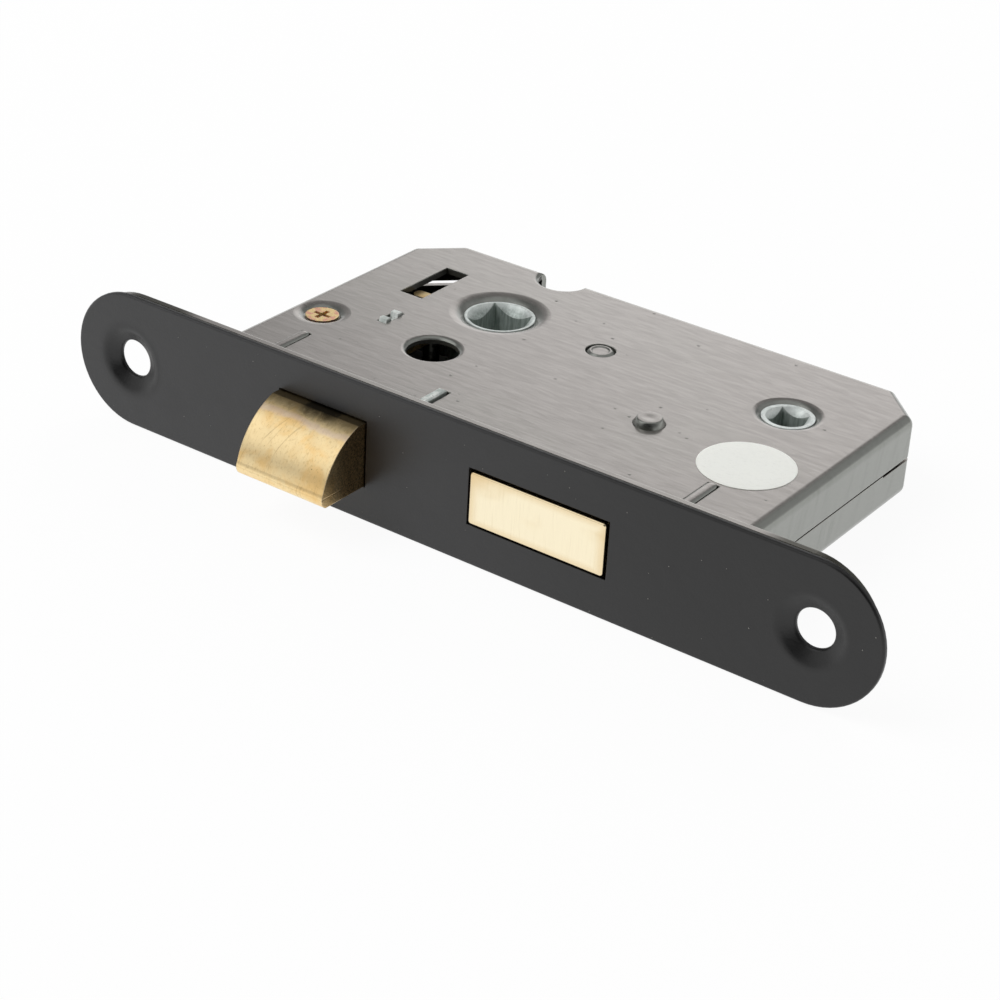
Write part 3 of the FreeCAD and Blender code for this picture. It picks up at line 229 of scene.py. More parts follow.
class Graph(Wiring):
    """A material's node tree, with the patterns that the finishes share."""

    BEVEL_SAMPLES = 6
    FLAT, TURNED = 0.995, 0.93
    SPECK_CORE = 0.2
    USUAL = 0.3, 0.7

    def __init__(self, name: str) -> None:
        """Starts a material with one Principled shader.

        Args:
            name: The finish's name.
        """
        self.material = bpy.data.materials.new(name)
        self.material.use_nodes = True
        super().__init__(self.material.node_tree)
        self.shader = self.add("ShaderNodeBsdfPrincipled")
        self.add("ShaderNodeOutputMaterial", {"Surface": self.shader.outputs["BSDF"]})
        self.place = self.add("ShaderNodeTexCoord").outputs["Object"]
        self.normal = self.add("ShaderNodeNewGeometry").outputs["Normal"]
        self.rounded: Any = None

    def set(self, **values: Any) -> None:
        """Sets the shader's own sockets, named with underscores for spaces."""
        for name, value in values.items():
            self.feed(self.shader.inputs[name.replace("_", " ")], value)

    def scaled(self, per_mm: Sequence[float], turn: Sequence[float] = (0, 0, 0)) -> Any:
        """Gives the object's own coordinates in cells.

        Args:
            per_mm: Cells to the millimetre along each axis.
            turn: Angles in degrees by which the pattern is turned first.

        Returns:
            The vector socket.
        """
        radians = [math.radians(angle) for angle in turn]
        turned = self.add("ShaderNodeMapping", {"Rotation": radians, "Vector": self.place})
        cells = {"Scale": [each / MM for each in per_mm], "Vector": turned.outputs["Vector"]}
        return self.add("ShaderNodeMapping", cells).outputs["Vector"]

    def noise(
        self,
        per_mm: Sequence[float],
        detail: float = 3.0,
        rough: float = 0.55,
        bent: float = 0.0,
        turn: Sequence[float] = (0, 0, 0),
        shift: float = 0.0,
    ) -> Any:
        """Makes a noise, which lies in streaks where the cells are longer one way.

        Args:
            per_mm: Cells to the millimetre along each axis.
            detail: How many finer layers are added.
            rough: How strong the finer layers are.
            bent: How far the noise is pushed about by itself.
            turn: Angles in degrees by which the pattern is turned.
            shift: A number that makes one noise differ from the next.

        Returns:
            The value socket, from 0 to 1.
        """
        layers = {"Detail": detail, "Roughness": rough, "Distortion": bent}
        place = {"W": shift, "Scale": 1.0, "Vector": self.scaled(per_mm, turn)}
        node = self.add("ShaderNodeTexNoise", {**place, **layers}, noise_dimensions="4D")
        return node.outputs["Fac"]

    def usual(self, pattern: Any, out: Span) -> Any:
        """Maps the range in which a noise mostly lies onto another."""
        return self.spread(pattern, *self.USUAL, out)

    def specks(self, spacing: float, size: float, shift: float = 0.0) -> Any:
        """Makes small round marks with bare ground between them.

        Args:
            spacing: Distance between marks, mm.
            size: Radius of a mark, mm.
            shift: A number that makes one set differ from the next.

        Returns:
            The value socket, 1 in a mark's middle and 0 outside it.
        """
        place = {"W": shift, "Scale": 1.0, "Vector": self.scaled((1 / spacing,) * 3)}
        cells = self.add("ShaderNodeTexVoronoi", place, voronoi_dimensions="4D")
        edge = size / spacing
        return self.spread(cells.outputs["Distance"], edge, self.SPECK_CORE * edge)

    def mix(self, share: Any, first: Any, second: Any) -> Any:
        """Mixes two colours.

        Args:
            share: How much of the second, 0 to 1.
            first: A colour or socket.
            second: A colour or socket.

        Returns:
            The colour socket.
        """
        sockets = {0: share, 6: first, 7: second}
        return self.add("ShaderNodeMix", sockets, data_type="RGBA").outputs[2]

    def ramp(self, value: Any, stops: Sequence[Stop]) -> Any:
        """Runs a value through a row of colours.

        Args:
            value: The value socket.
            stops: Places from 0 to 1 and their colours.

        Returns:
            The colour socket.
        """
        node = self.add("ShaderNodeValToRGB", {"Fac": value})
        elements = node.color_ramp.elements
        while len(elements) < len(stops):
            elements.new(0.5)
        for element, (place, color) in zip(elements, stops):
            element.position = place
            element.color = (*color, 1.0)
        return node.outputs["Color"]

    def axes(self) -> tuple[Any, Any, Any]:
        """Gives X, Y and Z in millimetres."""
        return self.split(self.scaled((1, 1, 1)))

    def facing(self) -> tuple[Any, Any, Any]:
        """Gives the X, Y and Z of the way that the surface looks, on the object's own axes.

        Returns:
            Three value sockets from -1 to 1.
        """
        turned = self.add(
            "ShaderNodeVectorTransform",
            {"Vector": self.normal},
            vector_type="NORMAL",
            convert_from="WORLD",
            convert_to="OBJECT",
        )
        return self.split(turned.outputs["Vector"])

    def soft_edges(self, radius: float) -> Any:
        """Rounds the shading of edges, and keeps the rounded direction for the relief.

        Args:
            radius: Radius of the rounding, mm.

        Returns:
            The value socket, 0 on the flat and up to 1 on an edge.
        """
        node = self.add("ShaderNodeBevel", {"Radius": radius * MM}, samples=self.BEVEL_SAMPLES)
        self.rounded = node.outputs["Normal"]
        return self.spread(self.along(self.rounded, self.normal), self.FLAT, self.TURNED)

    def relief(self, *layers: tuple[Any, float]) -> None:
        """Gives the shader its bump, over the rounded edges if they were asked for.

        Args:
            layers: Height sockets from 0 to 1, each with its real height in mm.
        """
        normal = self.rounded
        for height, depth in layers:
            below = {} if normal is None else {"Normal": normal}
            inputs = {"Strength": 1.0, "Distance": depth * MM, "Height": height, **below}
            normal = self.add("ShaderNodeBump", inputs).outputs["Normal"]
        self.feed(self.shader.inputs["Normal"], normal)


@dataclass(frozen=True)
class SatinBlack:
    """The forend's black coating: pebbled by the powder, rubbed here and there at its rim, and
    lightened by a painted sheen towards the latch end.

    Args:
        ground: Colour of the coating.
        dusty: Colour of its paler clouds.
        rubbed: Colour where an edge is rubbed.
        painted_sheen: Colour of the painted sheen towards the latch end.
        fluff: Colour of the fine dust on it.
        painted_sheen_span: Where the painted sheen starts and where it is full, along X, mm.
        hole_place: Distance of the fixing holes from the middle along X, mm.
        dish: Radii between which the painted sheen comes back round a hole's dish, which stays
            dark, mm.
        edge_radius: Radius of its softened edges, mm.
        roughness: The roughness that it keeps between.
    """

    ground: Color = srgb(9, 9, 10)
    dusty: Color = srgb(18, 18, 18)
    rubbed: Color = srgb(84, 83, 80)
    painted_sheen: Color = srgb(44, 44, 45)
    fluff: Color = srgb(150, 148, 142)
    painted_sheen_span: Span = (50.0, -25.0)
    hole_place: float = 65.75
    dish: Span = (5.0, 7.8)
    edge_radius: float = 0.18
    roughness: Span = (0.32, 0.42)

    def material(self) -> bpy.types.Material:
        """Builds the node tree.

        Returns:
            The material.
        """
        g = Graph("satin_black")
        rim = g.soft_edges(self.edge_radius)
        pebble = g.noise((2.2, 2.2, 2.2), 3, 0.6, 0.2)
        sag = g.noise((0.16, 0.3, 0.2), 3, 0.5, 0.3, shift=2)
        cloud = g.noise((0.05, 0.2, 0.09), 4, 0.6, 0.4, shift=4)
        edge_tone = g.times(rim, g.spread(g.noise((0.5, 0.5, 0.5), 5, 0.7, shift=6), 0.56, 0.7))
        dust = g.times(
            g.specks(2.1, 0.1, 3), g.spread(g.noise((0.2, 0.2, 0.2), 2, 0.5, shift=8), 0.48, 0.6)
        )
        x, _, z = g.axes()
        outward = g.math("SUBTRACT", g.math("ABSOLUTE", x), self.hole_place)
        round_hole = g.math("SQRT", g.math("ADD", g.times(outward, outward), g.times(z, z)))
        # Painted sheen: lighter towards the latch end, kept off the hole dishes so that they stay
        # dark.
        painted_sheen = g.times(
            g.spread(x, *self.painted_sheen_span),
            g.spread(cloud, 0.1, 0.6, (0.7, 1.0)),
            g.spread(round_hole, *self.dish),
        )
        tone = g.mix(g.spread(cloud, 0.35, 0.65), self.ground, self.dusty)
        tone = g.mix(painted_sheen, tone, self.painted_sheen)
        tone = g.mix(g.times(edge_tone, 0.5), tone, self.rubbed)
        tone = g.mix(g.times(dust, 0.55), tone, self.fluff)
        g.set(
            Base_Color=tone,
            Roughness=g.usual(cloud, self.roughness),
            Metallic=0.0,
            IOR=1.5,
            Specular_IOR_Level=0.56,
        )
        g.relief((sag, 0.08), (pebble, 0.022), (dust, 0.03))
        return g.material


@dataclass(frozen=True)
class DrawnEnamel:
    """The case's warm grey lacquer: glossy, with the sheet's wavy drawn lines under it on the
    flat and painted shade in their hollows, smooth round the bends, with painted shade that
    makes the bends and side walls darker and greener, a painted highlight along its edges,
    thin and dark inside as bare lacquer and painted shade, with a few pits.

    Args:
        ground: Colour of the lacquer on the flat.
        shade: Painted shade in the hollows of the drawn lines.
        haze: Colour of broad pale patches on the flat.
        wall: Painted shade on the side walls and bends, darker and greener than the flat.
        wall_line: Colour of the drawn lines on them.
        dark: Colour of the bare inside and of the cut edges of holes, darkened further as painted
            shade.
        pit: Colour of the pits.
        rim: Painted highlight along the edges.
        dark_patch: Colour of the dark film at the forend's ends and joints.
        half_height: Half the case along X, to its inner face, mm.
        depth: Place of the rear wall's inner face along Y, mm.
        shallow: Where the inside begins behind the forend, along Y, mm.
        corner: Sum of X and Y at the inner face of a cut corner, mm.
        half_inside: Half the room inside, along Z, mm.
        cut_span: Heights at which the cut edges of holes start and are dark, mm.
        film_ends: Where the dark film starts and is full at each end of the forend, along X, mm.
        film_depth: Where it ends and where it is full, along Y, mm.
        joints: Place along Y of each joint of the plates, with the near and far end of the
            dark film beside it, mm.
        edge_radius: Radius of its softened edges, mm.
        roughness: The roughness that it keeps between.
    """

    ground: Color = srgb(177, 172, 168)
    shade: Color = srgb(169, 164, 160)
    haze: Color = srgb(174, 172, 166)
    wall: Color = srgb(145, 147, 142)
    wall_line: Color = srgb(118, 121, 114)
    dark: Color = srgb(58, 58, 52)
    pit: Color = srgb(92, 87, 80)
    rim: Color = srgb(208, 207, 200)
    dark_patch: Color = srgb(58, 57, 46)
    half_height: float = 49.4
    depth: float = 63.6
    shallow: float = 4.0
    corner: float = 107.4
    half_inside: float = 6.05
    cut_span: Span = (7.16, 6.9)
    film_ends: tuple[Span, ...] = ((-50.0, -56.0), (54.0, 60.0))
    film_depth: Span = (3.0, 2.6)
    joints: tuple[tuple[float, float, float], ...] = ((0.8, 0.2, 0.45), (2.5, 0.06, 0.2))
    edge_radius: float = 0.2
    roughness: Span = (0.2, 0.26)

    def inside(self, g: Graph) -> Any:
        """Marks the inner faces and the cut edges of holes, and leaves the outside free.

        Args:
            g: The material's graph.

        Returns:
            The value socket, 0 to 1.
        """
        x, y, z = g.axes()
        _, _, up = g.facing()
        across, height = g.math("ABSOLUTE", x), g.math("ABSOLUTE", z)
        within = g.times(
            g.math("LESS_THAN", across, self.half_height),
            g.math("LESS_THAN", y, self.depth),
            g.math("GREATER_THAN", y, self.shallow),
            g.math("LESS_THAN", g.math("ADD", across, y), self.corner),
        )
        upright = g.spread(g.math("ABSOLUTE", up), 0.6, 0.3)
        cut = g.times(upright, g.spread(height, *self.cut_span))
        behind = g.math("LESS_THAN", height, self.half_inside)
        return g.times(within, g.math("MAXIMUM", cut, behind))

    def material(self) -> bpy.types.Material:
        """Builds the node tree.

        Returns:
            The material.
        """
        g = Graph("drawn_enamel")
        edge = g.soft_edges(self.edge_radius)
        x, y, _ = g.axes()
        _, _, up = g.facing()
        flat = g.spread(g.math("ABSOLUTE", up), 0.9, 0.99)
        swell = g.noise((0.2, 1.25, 0.9), 1, 0.4, 0.6)
        line = g.noise((0.3, 2.4, 2.0), 1, 0.4, 0.4, shift=4)
        peel = g.noise((0.3, 0.3, 0.3), 1, 0.5, shift=12)
        broad = g.noise((0.03, 0.05, 0.05), 3, 0.5, 0.2, shift=9)
        ripple = g.math("ADD", g.times(swell, 0.8), g.times(line, 0.2))
        drawn = g.noise((0.9, 0.9, 0.07), 4, 0.6, 0.3, turn=(14, 0, 0), shift=15)
        upright = g.math("SUBTRACT", 1.0, flat)
        walls = g.math("ADD", g.times(peel, 0.6), g.times(drawn, 0.4))
        height = g.math("ADD", g.times(ripple, flat), g.times(walls, upright))
        pits = g.times(
            g.specks(3.6, 0.15, 2), g.spread(g.noise((0.2, 0.2, 0.2), 2, 0.5, shift=5), 0.5, 0.56)
        )
        # Painted shade in the hollows of the drawn lines.
        tone = g.mix(g.spread(ripple, 0.4, 0.6), self.shade, self.ground)
        tone = g.mix(g.times(g.spread(broad, 0.4, 0.65), 0.3), tone, self.haze)
        # Painted shade: the side walls and bends darker and greener than the flat.
        tone = g.mix(upright, tone, self.wall)
        tone = g.mix(g.times(upright, g.spread(drawn, 0.45, 0.7), 0.3), tone, self.wall_line)
        # Painted highlight along the edges.
        tone = g.mix(g.times(edge, 0.5), tone, self.rim)
        tone = g.mix(g.times(pits, flat, 0.85), tone, self.pit)
        film: Any = 0.0
        front = g.spread(y, *self.film_depth)
        for start, full in self.film_ends:
            film = g.math("MAXIMUM", film, g.times(g.spread(x, start, full), front))
        for joint, near, far in self.joints:
            gap = g.math("ABSOLUTE", g.math("SUBTRACT", y, joint))
            film = g.math("MAXIMUM", film, g.spread(gap, far, near))
        tone = g.mix(g.times(film, 0.9), tone, self.dark_patch)
        # Dull bare lacquer inside and on the cut edges of holes, darkened further as painted shade.
        inside = self.inside(g)
        tone = g.mix(inside, tone, self.dark)
        g.set(
            Base_Color=tone,
            Roughness=g.math("ADD", g.usual(line, self.roughness), g.times(inside, 0.35)),
            Metallic=g.times(g.math("SUBTRACT", 1.0, inside), 0.85),
            IOR=1.5,
            Coat_Weight=0.2,
            Coat_Roughness=0.1,
        )
        g.relief((height, 0.012), (g.math("SUBTRACT", 1.0, g.times(pits, flat)), 0.03))
        return g.material


@dataclass(frozen=True)
class BrightZinc:
    """Plated steel: pale bluish metal with fine drawing lines, dull patches and bright edges.

    Args:
        light: Colour of the clean plating.
        dull: Colour of the patches.
        line: Colour of the drawing lines.
        bare: Colour of the rubbed edges.
        grain: The way that the drawing lines run.
        edge_radius: Radius of its softened edges, mm.
        roughness: The roughness that it keeps between.
    """

    light: Color = srgb(232, 236, 232)
    dull: Color = srgb(190, 198, 194)
    line: Color = srgb(118, 124, 121)
    bare: Color = srgb(232, 234, 230)
    grain: Grain = Grain.UPRIGHT
    edge_radius: float = 0.18
    roughness: Span = (0.24, 0.42)

    def material(self) -> bpy.types.Material:
        """Builds the node tree.

        Returns:
            The material.
        """
        g = Graph(f"bright_zinc_{self.grain.name.lower()}")
        edge = g.soft_edges(self.edge_radius)
        lines = g.noise(self.grain.value, 4, 0.6, 0.2)
        patch = g.noise((0.6, 0.6, 0.6), 4, 0.65, 0.6, shift=3)
        tone = g.mix(g.spread(patch, 0.4, 0.65), self.light, self.dull)
        tone = g.mix(g.times(g.spread(lines, 0.55, 0.75), 0.4), tone, self.line)
        tone = g.mix(g.times(edge, 0.7), tone, self.bare)
        g.set(Base_Color=tone, Metallic=0.6, Roughness=g.usual(patch, self.roughness))
        g.relief((lines, 0.012), (g.noise((6, 6, 6), 2, 0.5, shift=5), 0.004))
        return g.material


@dataclass(frozen=True)
class CastZinc:
    """The followers' die-cast zinc: speckled pale grey, streaked and darkened by painted shade in
    the square.

    Args:
        skin: Colour of the face.
        fleck: Colour of its pale flecks.
        cloud: Colour of its duller clouds.
        edge_tone: Colour of its edges.
        deep_shade: Colour of the socket's walls, in painted shade.
        hollow_shade: Colour of the darker streaks low in the socket, in painted shade.
        socket: Heights at which the socket's painted shade starts and is full, mm.
        edge_radius: Radius of its softened edges, mm.
        roughness: The roughness that it keeps between.
    """

    skin: Color = srgb(222, 229, 226)
    fleck: Color = srgb(238, 242, 239)
    cloud: Color = srgb(170, 179, 176)
    edge_tone: Color = srgb(228, 232, 229)
    deep_shade: Color = srgb(178, 188, 183)
    hollow_shade: Color = srgb(112, 124, 118)
    socket: Span = (6.4, 5.5)
    edge_radius: float = 0.16
    roughness: Span = (0.28, 0.42)

    def material(self) -> bpy.types.Material:
        """Builds the node tree.

        Returns:
            The material.
        """
        g = Graph("cast_zinc_skin")
        edge = g.soft_edges(self.edge_radius)
        _, _, z = g.axes()
        flecks = g.noise((3.2, 3.2, 3.2), 5, 0.75, 0.5)
        cloud = g.noise((0.5, 0.5, 0.5), 3, 0.6, 0.6, shift=2)
        flow = g.noise((2.4, 2.4, 0.25), 3, 0.6, 0.2, shift=5)
        tone = g.mix(g.spread(flecks, 0.42, 0.68), self.skin, self.fleck)
        tone = g.mix(g.times(g.spread(cloud, 0.4, 0.7), 0.35), tone, self.cloud)
        # Painted shade down the socket's walls, with real flow streaks in it.
        wall = g.mix(g.spread(flow, 0.35, 0.7), self.deep_shade, self.hollow_shade)
        height = g.math("ABSOLUTE", z)
        inside = g.spread(height, *self.socket)
        tone = g.mix(g.times(inside, 0.8), tone, wall)
        tone = g.mix(g.times(edge, 0.6), tone, self.edge_tone)
        g.set(Base_Color=tone, Metallic=0.5, Roughness=g.usual(cloud, self.roughness))
        g.relief((flecks, 0.02), (flow, 0.02))
        return g.material


@dataclass(frozen=True)
class YellowZinc:
    """Yellow passivated steel: gold that turns pink and green over the surface.

    Args:
        gold: The main colour.
        pink: The colour of the warm patches.
        green: The colour of the cool patches.
        edge_tone: The colour of the edges.
        edge_radius: Radius of its softened edges, mm.
        roughness: The roughness that it keeps between.
    """

    gold: Color = srgb(248, 216, 154)
    pink: Color = srgb(240, 172, 152)
    green: Color = srgb(190, 200, 138)
    edge_tone: Color = srgb(244, 228, 186)
    edge_radius: float = 0.14
    roughness: Span = (0.18, 0.32)

    def material(self) -> bpy.types.Material:
        """Builds the node tree.

        Returns:
            The material.
        """
        g = Graph("yellow_zinc_film")
        edge = g.soft_edges(self.edge_radius)
        film = g.noise((0.5, 0.5, 0.5), 3, 0.6, 1.6)
        hues = self.green, self.gold, self.gold, self.pink, self.gold
        hue = g.ramp(film, list(zip((0.3, 0.42, 0.5, 0.6, 0.75), hues)))
        tone = g.mix(g.times(edge, 0.5), hue, self.edge_tone)
        g.set(Base_Color=tone, Metallic=0.7, Roughness=g.usual(film, self.roughness))
        g.relief((g.noise((3, 3, 3), 3, 0.6, shift=4), 0.012))
        return g.material


@dataclass(frozen=True)
class LatchBrass:
    """The latch's satin brass: brush lines, a painted dark reflection with a darker blot on its
    upper side by the forend, painted shade on its flanks, a line of grease, dents and scratches.

    Args:
        clean: Colour of the rubbed brass.
        warm: Colour of its deeper patches.
        line: Colour of the brush lines on the face.
        scratch: Colour of the long scratches.
        grit: Colour of the fine speckle.
        nick: Colour in the dents.
        edge_tone: Colour of the edges.
        dark_patch: Colour of the painted dark reflection on the upper side by the forend.
        dark_blot: Colour of the darker blot in that painted reflection.
        grease: Colour of the grease line.
        brushed_in_shade: Colour of the brush lines on the flanks, in painted shade.
        flank_shade: Painted shade on the flanks between them.
        forend_shade_start: Where the painted dark reflection starts and is full, along Y, mm.
        forend_shade_end: Where it ends and is still full, along Y, mm.
        upper: Heights at which the painted reflection and the grease start and are full, mm.
        dark_blot_place: Place of the darker blot along X, mm.
        dark_blot_reach: How far from there it ends and is full, mm.
        grease_front: Where the grease line starts and is full, along Y, mm.
        grease_rear: Where it ends and is still full, along Y, mm.
        flank_span: Where the flanks' painted shade starts and is full, along Y, mm.
        crease: Height of the fine line over the nose, mm.
        edge_radius: Radius of its softened edges, mm.
        roughness: The roughness that it keeps between.
    """

    clean: Color = srgb(255, 230, 178)
    warm: Color = srgb(250, 212, 146)
    line: Color = srgb(190, 158, 104)
    scratch: Color = srgb(176, 146, 98)
    grit: Color = srgb(196, 162, 104)
    nick: Color = srgb(120, 98, 62)
    edge_tone: Color = srgb(250, 236, 206)
    dark_patch: Color = srgb(126, 108, 74)
    dark_blot: Color = srgb(30, 30, 24)
    grease: Color = srgb(236, 214, 200)
    brushed_in_shade: Color = srgb(184, 152, 104)
    flank_shade: Color = srgb(78, 62, 38)
    forend_shade_start: Span = (-4.6, -1.2)
    forend_shade_end: Span = (3.0, 1.0)
    upper: Span = (0.6, 3.6)
    dark_blot_place: float = -23.0
    dark_blot_reach: Span = (4.2, 2.4)
    grease_front: Span = (-5.4, -4.7)
    grease_rear: Span = (-3.6, -4.3)
    flank_span: Span = (-11.0, -4.0)
    crease: float = -3.95
    edge_radius: float = 0.2
    roughness: Span = (0.3, 0.38)

    def material(self) -> bpy.types.Material:
        """Builds the node tree.

        Returns:
            The material.
        """
        g = Graph("latch_brass")
        edge = g.soft_edges(self.edge_radius)
        x, y, z = g.axes()
        side, _, _ = g.facing()
        on_side = g.spread(g.math("ABSOLUTE", side), 0.6, 0.9)
        brush = g.noise((2.2, 0.14, 0.14), 4, 0.6, 0.15)
        cross = g.noise((0.5, 3.4, 3.4), 4, 0.65, 0.1, turn=(38, 0, 0), shift=11)
        cloud = g.noise((0.16, 0.2, 0.2), 3, 0.6, 0.8, shift=2)
        blots = g.noise((0.5, 0.5, 0.5), 4, 0.65, 1.0, shift=6)
        scratch = g.noise((2.6, 0.12, 0.12), 2, 0.4, 0.1, turn=(0, 0, 32), shift=9)
        grit = g.noise((2.4, 1.6, 1.6), 4, 0.7, 0.4, shift=17)
        nicks = g.times(
            g.specks(0.8, 0.17, 5), g.spread(g.noise((0.3, 0.3, 0.3), 3, 0.6, shift=13), 0.44, 0.54)
        )
        tone = g.mix(g.spread(cloud, 0.42, 0.7), self.clean, self.warm)
        tone = g.mix(g.times(g.spread(brush, 0.55, 0.75), 0.22), tone, self.line)
        tone = g.mix(g.times(g.spread(scratch, 0.64, 0.72), 0.3), tone, self.scratch)
        tone = g.mix(g.times(g.spread(grit, 0.5, 0.66), 0.32), tone, self.grit)
        tone = g.mix(g.times(nicks, 0.6), tone, self.nick)

        # Painted dark reflection on the upper side by the forend, with a darker blot in it.
        sway = g.times(g.math("SUBTRACT", blots, 0.5), 3.4)
        start = g.spread(g.math("ADD", y, sway), *self.forend_shade_start)
        near = g.times(start, g.spread(y, *self.forend_shade_end))
        upper = g.spread(z, *self.upper)
        tone = g.mix(g.times(near, upper, 0.85), tone, self.dark_patch)
        away = g.math("ABSOLUTE", g.math("SUBTRACT", x, self.dark_blot_place))
        away = g.math("ADD", away, g.times(sway, 1.6))
        blob = g.times(g.spread(away, *self.dark_blot_reach), near)
        tone = g.mix(g.times(blob, upper, 0.8), tone, self.dark_blot)
        wipe = g.math("SUBTRACT", y, g.times(g.math("SUBTRACT", cloud, 0.5), 2.4))
        stripe = g.times(g.spread(wipe, *self.grease_front), g.spread(wipe, *self.grease_rear))
        tone = g.mix(g.times(stripe, upper, 0.5), tone, self.grease)
        # Painted shade on the flanks, over their real brush lines.
        flank = g.times(on_side, g.spread(y, *self.flank_span, (0.4, 0.95)))
        tone = g.mix(flank, tone, g.mix(g.spread(cross, 0.3, 0.7), self.brushed_in_shade, self.flank_shade))
        tone = g.mix(g.times(edge, 0.4), tone, self.edge_tone)
        g.set(Base_Color=tone, Metallic=1.0, Roughness=g.usual(blots, self.roughness))

        hair = g.math("SUBTRACT", 1.0, g.spread(scratch, 0.68, 0.76))
        off_crease = g.math("ABSOLUTE", g.math("SUBTRACT", z, self.crease))
        g.relief(
            (brush, 0.008),
            (grit, 0.008),
            (g.times(cross, on_side), 0.03),
            (hair, 0.01),
            (g.math("SUBTRACT", 1.0, nicks), 0.02),
            (g.spread(off_crease, 0.0, 0.14), 0.03),
        )
        return g.material


@dataclass(frozen=True)
class PolishedBrass:
    """The dead bolt's pale brass: polished, with faint upright brush lines, and a painted darker
    reflection in one corner, round its border and on its edges.

    Args:
        clean: Colour of the polished face.
        tan: Colour of its tan clouds, and of the painted darker reflection in the corner and
            border.
        line: Colour of the brush lines.
        edge_tone: Painted dark golden reflection on the edges.
        corner_across: Where the corner's painted darker reflection starts and is full, along X, mm.
        corner_up: The same along Z, mm.
        side_border: Width of the border's painted darker reflection at the sides, mm.
        face_border: The same along the thickness, mm.
        middle: Place of the bolt's middle along X, mm.
        half_width: Half its width, mm.
        half_thick: Half its thickness, mm.
        edge_radius: Radius of its softened edges, mm.
        roughness: The roughness that it keeps between.
    """

    clean: Color = srgb(255, 243, 212)
    tan: Color = srgb(226, 194, 138)
    line: Color = srgb(206, 178, 124)
    edge_tone: Color = srgb(196, 154, 92)
    corner_across: Span = (12.0, 6.0)
    corner_up: Span = (1.0, 4.4)
    side_border: float = 2.2
    face_border: float = 1.6
    middle: float = 18.02
    half_width: float = 12.5
    half_thick: float = 4.5
    edge_radius: float = 0.18
    roughness: Span = (0.18, 0.24)

    def material(self) -> bpy.types.Material:
        """Builds the node tree.

        Returns:
            The material.
        """
        g = Graph("polished_brass")
        edge = g.soft_edges(self.edge_radius)
        x, _, z = g.axes()
        brush = g.noise((3.4, 0.4, 0.18), 4, 0.65, 0.1)
        cloud = g.noise((0.1, 0.14, 0.2), 2, 0.5, 0.4, shift=4)
        corner = g.times(g.spread(x, *self.corner_across), g.spread(z, *self.corner_up))
        sideways = g.math("ABSOLUTE", g.math("SUBTRACT", x, self.middle))
        up = g.math("ABSOLUTE", z)
        border = g.math(
            "MAXIMUM",
            g.spread(sideways, self.half_width - self.side_border, self.half_width),
            g.spread(up, self.half_thick - self.face_border, self.half_thick),
        )
        tone = g.mix(g.times(g.spread(cloud, 0.5, 0.8), 0.35), self.clean, self.tan)
        # Painted darker reflection in the upper corner and round the border.
        tone = g.mix(g.times(corner, 0.5), tone, self.tan)
        tone = g.mix(g.times(border, 0.45), tone, self.tan)
        tone = g.mix(g.times(g.spread(brush, 0.5, 0.8), 0.14), tone, self.line)
        # Painted dark golden reflection on the edges.
        tone = g.mix(g.times(edge, 0.7), tone, self.edge_tone)
        g.set(Base_Color=tone, Metallic=1.0, Roughness=g.usual(brush, self.roughness))
        g.relief((brush, 0.002), (cloud, 0.02))
        return g.material


@dataclass(frozen=True)
class SpringSteel:
    """Oiled spring wire: dark grey, and nearly black where the oil lies.

    Args:
        wire: Colour of the wire.
        dark_blot: Colour where oil has darkened it.
        roughness: The roughness that it keeps between.
    """

    wire: Color = srgb(72, 72, 68)
    dark_blot: Color = srgb(34, 33, 30)
    roughness: Span = (0.34, 0.5)

    def material(self) -> bpy.types.Material:
        """Builds the node tree.

        Returns:
            The material.
        """
        g = Graph("spring_steel_wire")
        patch = g.noise((1.1, 1.1, 1.1), 4, 0.6, 0.4)
        tone = g.mix(g.spread(patch, 0.42, 0.66), self.wire, self.dark_blot)
        g.set(Base_Color=tone, Metallic=1.0, Roughness=g.usual(patch, self.roughness))
        g.relief((g.noise((5, 5, 5), 2, 0.5, shift=2), 0.004))
        return g.material


@dataclass(frozen=True)
class LabelPaper:
    """Coated white paper: faint fibres, a slightly grey cut edge.

    Args:
        paper: Colour of the face.
        fibre: Colour of the faint fibres.
        cut: Colour of the cut edge.
        roughness: The roughness that it keeps between.
    """

    paper: Color = srgb(240, 241, 235)
    fibre: Color = srgb(231, 232, 226)
    cut: Color = srgb(196, 196, 188)
    roughness: Span = (0.38, 0.5)

    def material(self) -> bpy.types.Material:
        """Builds the node tree.

        Returns:
            The material.
        """
        g = Graph("label_paper_face")
        fibres = g.noise((1.4, 3.2, 2.0), 5, 0.7, 0.8)
        _, _, up = g.facing()
        tone = g.mix(g.spread(fibres, 0.48, 0.72), self.paper, self.fibre)
        tone = g.mix(g.spread(up, 0.9, 0.5), tone, self.cut)
        g.set(Base_Color=tone, Roughness=g.usual(fibres, self.roughness), IOR=1.45)
        g.relief((fibres, 0.006))
        return g.material


@dataclass(frozen=True)
class DustGrain:
    """A grain of pale dust that has stuck to the black coating.

    Args:
        pale: Colour of the grain's crown.
        grey: Colour in its hollows.
        roughness: The roughness that it keeps between.
    """

    pale: Color = srgb(146, 144, 138)
    grey: Color = srgb(86, 85, 82)
    roughness: Span = (0.55, 0.75)

    def material(self) -> bpy.types.Material:
        """Builds the node tree.

        Returns:
            The material.
        """
        g = Graph("dust_grain")
        lump = g.noise((6, 6, 6), 3, 0.6)
        tone = g.mix(g.spread(lump, 0.4, 0.6), self.grey, self.pale)
        g.set(Base_Color=tone, Roughness=g.usual(lump, self.roughness))
        g.relief((lump, 0.01))
        return g.material


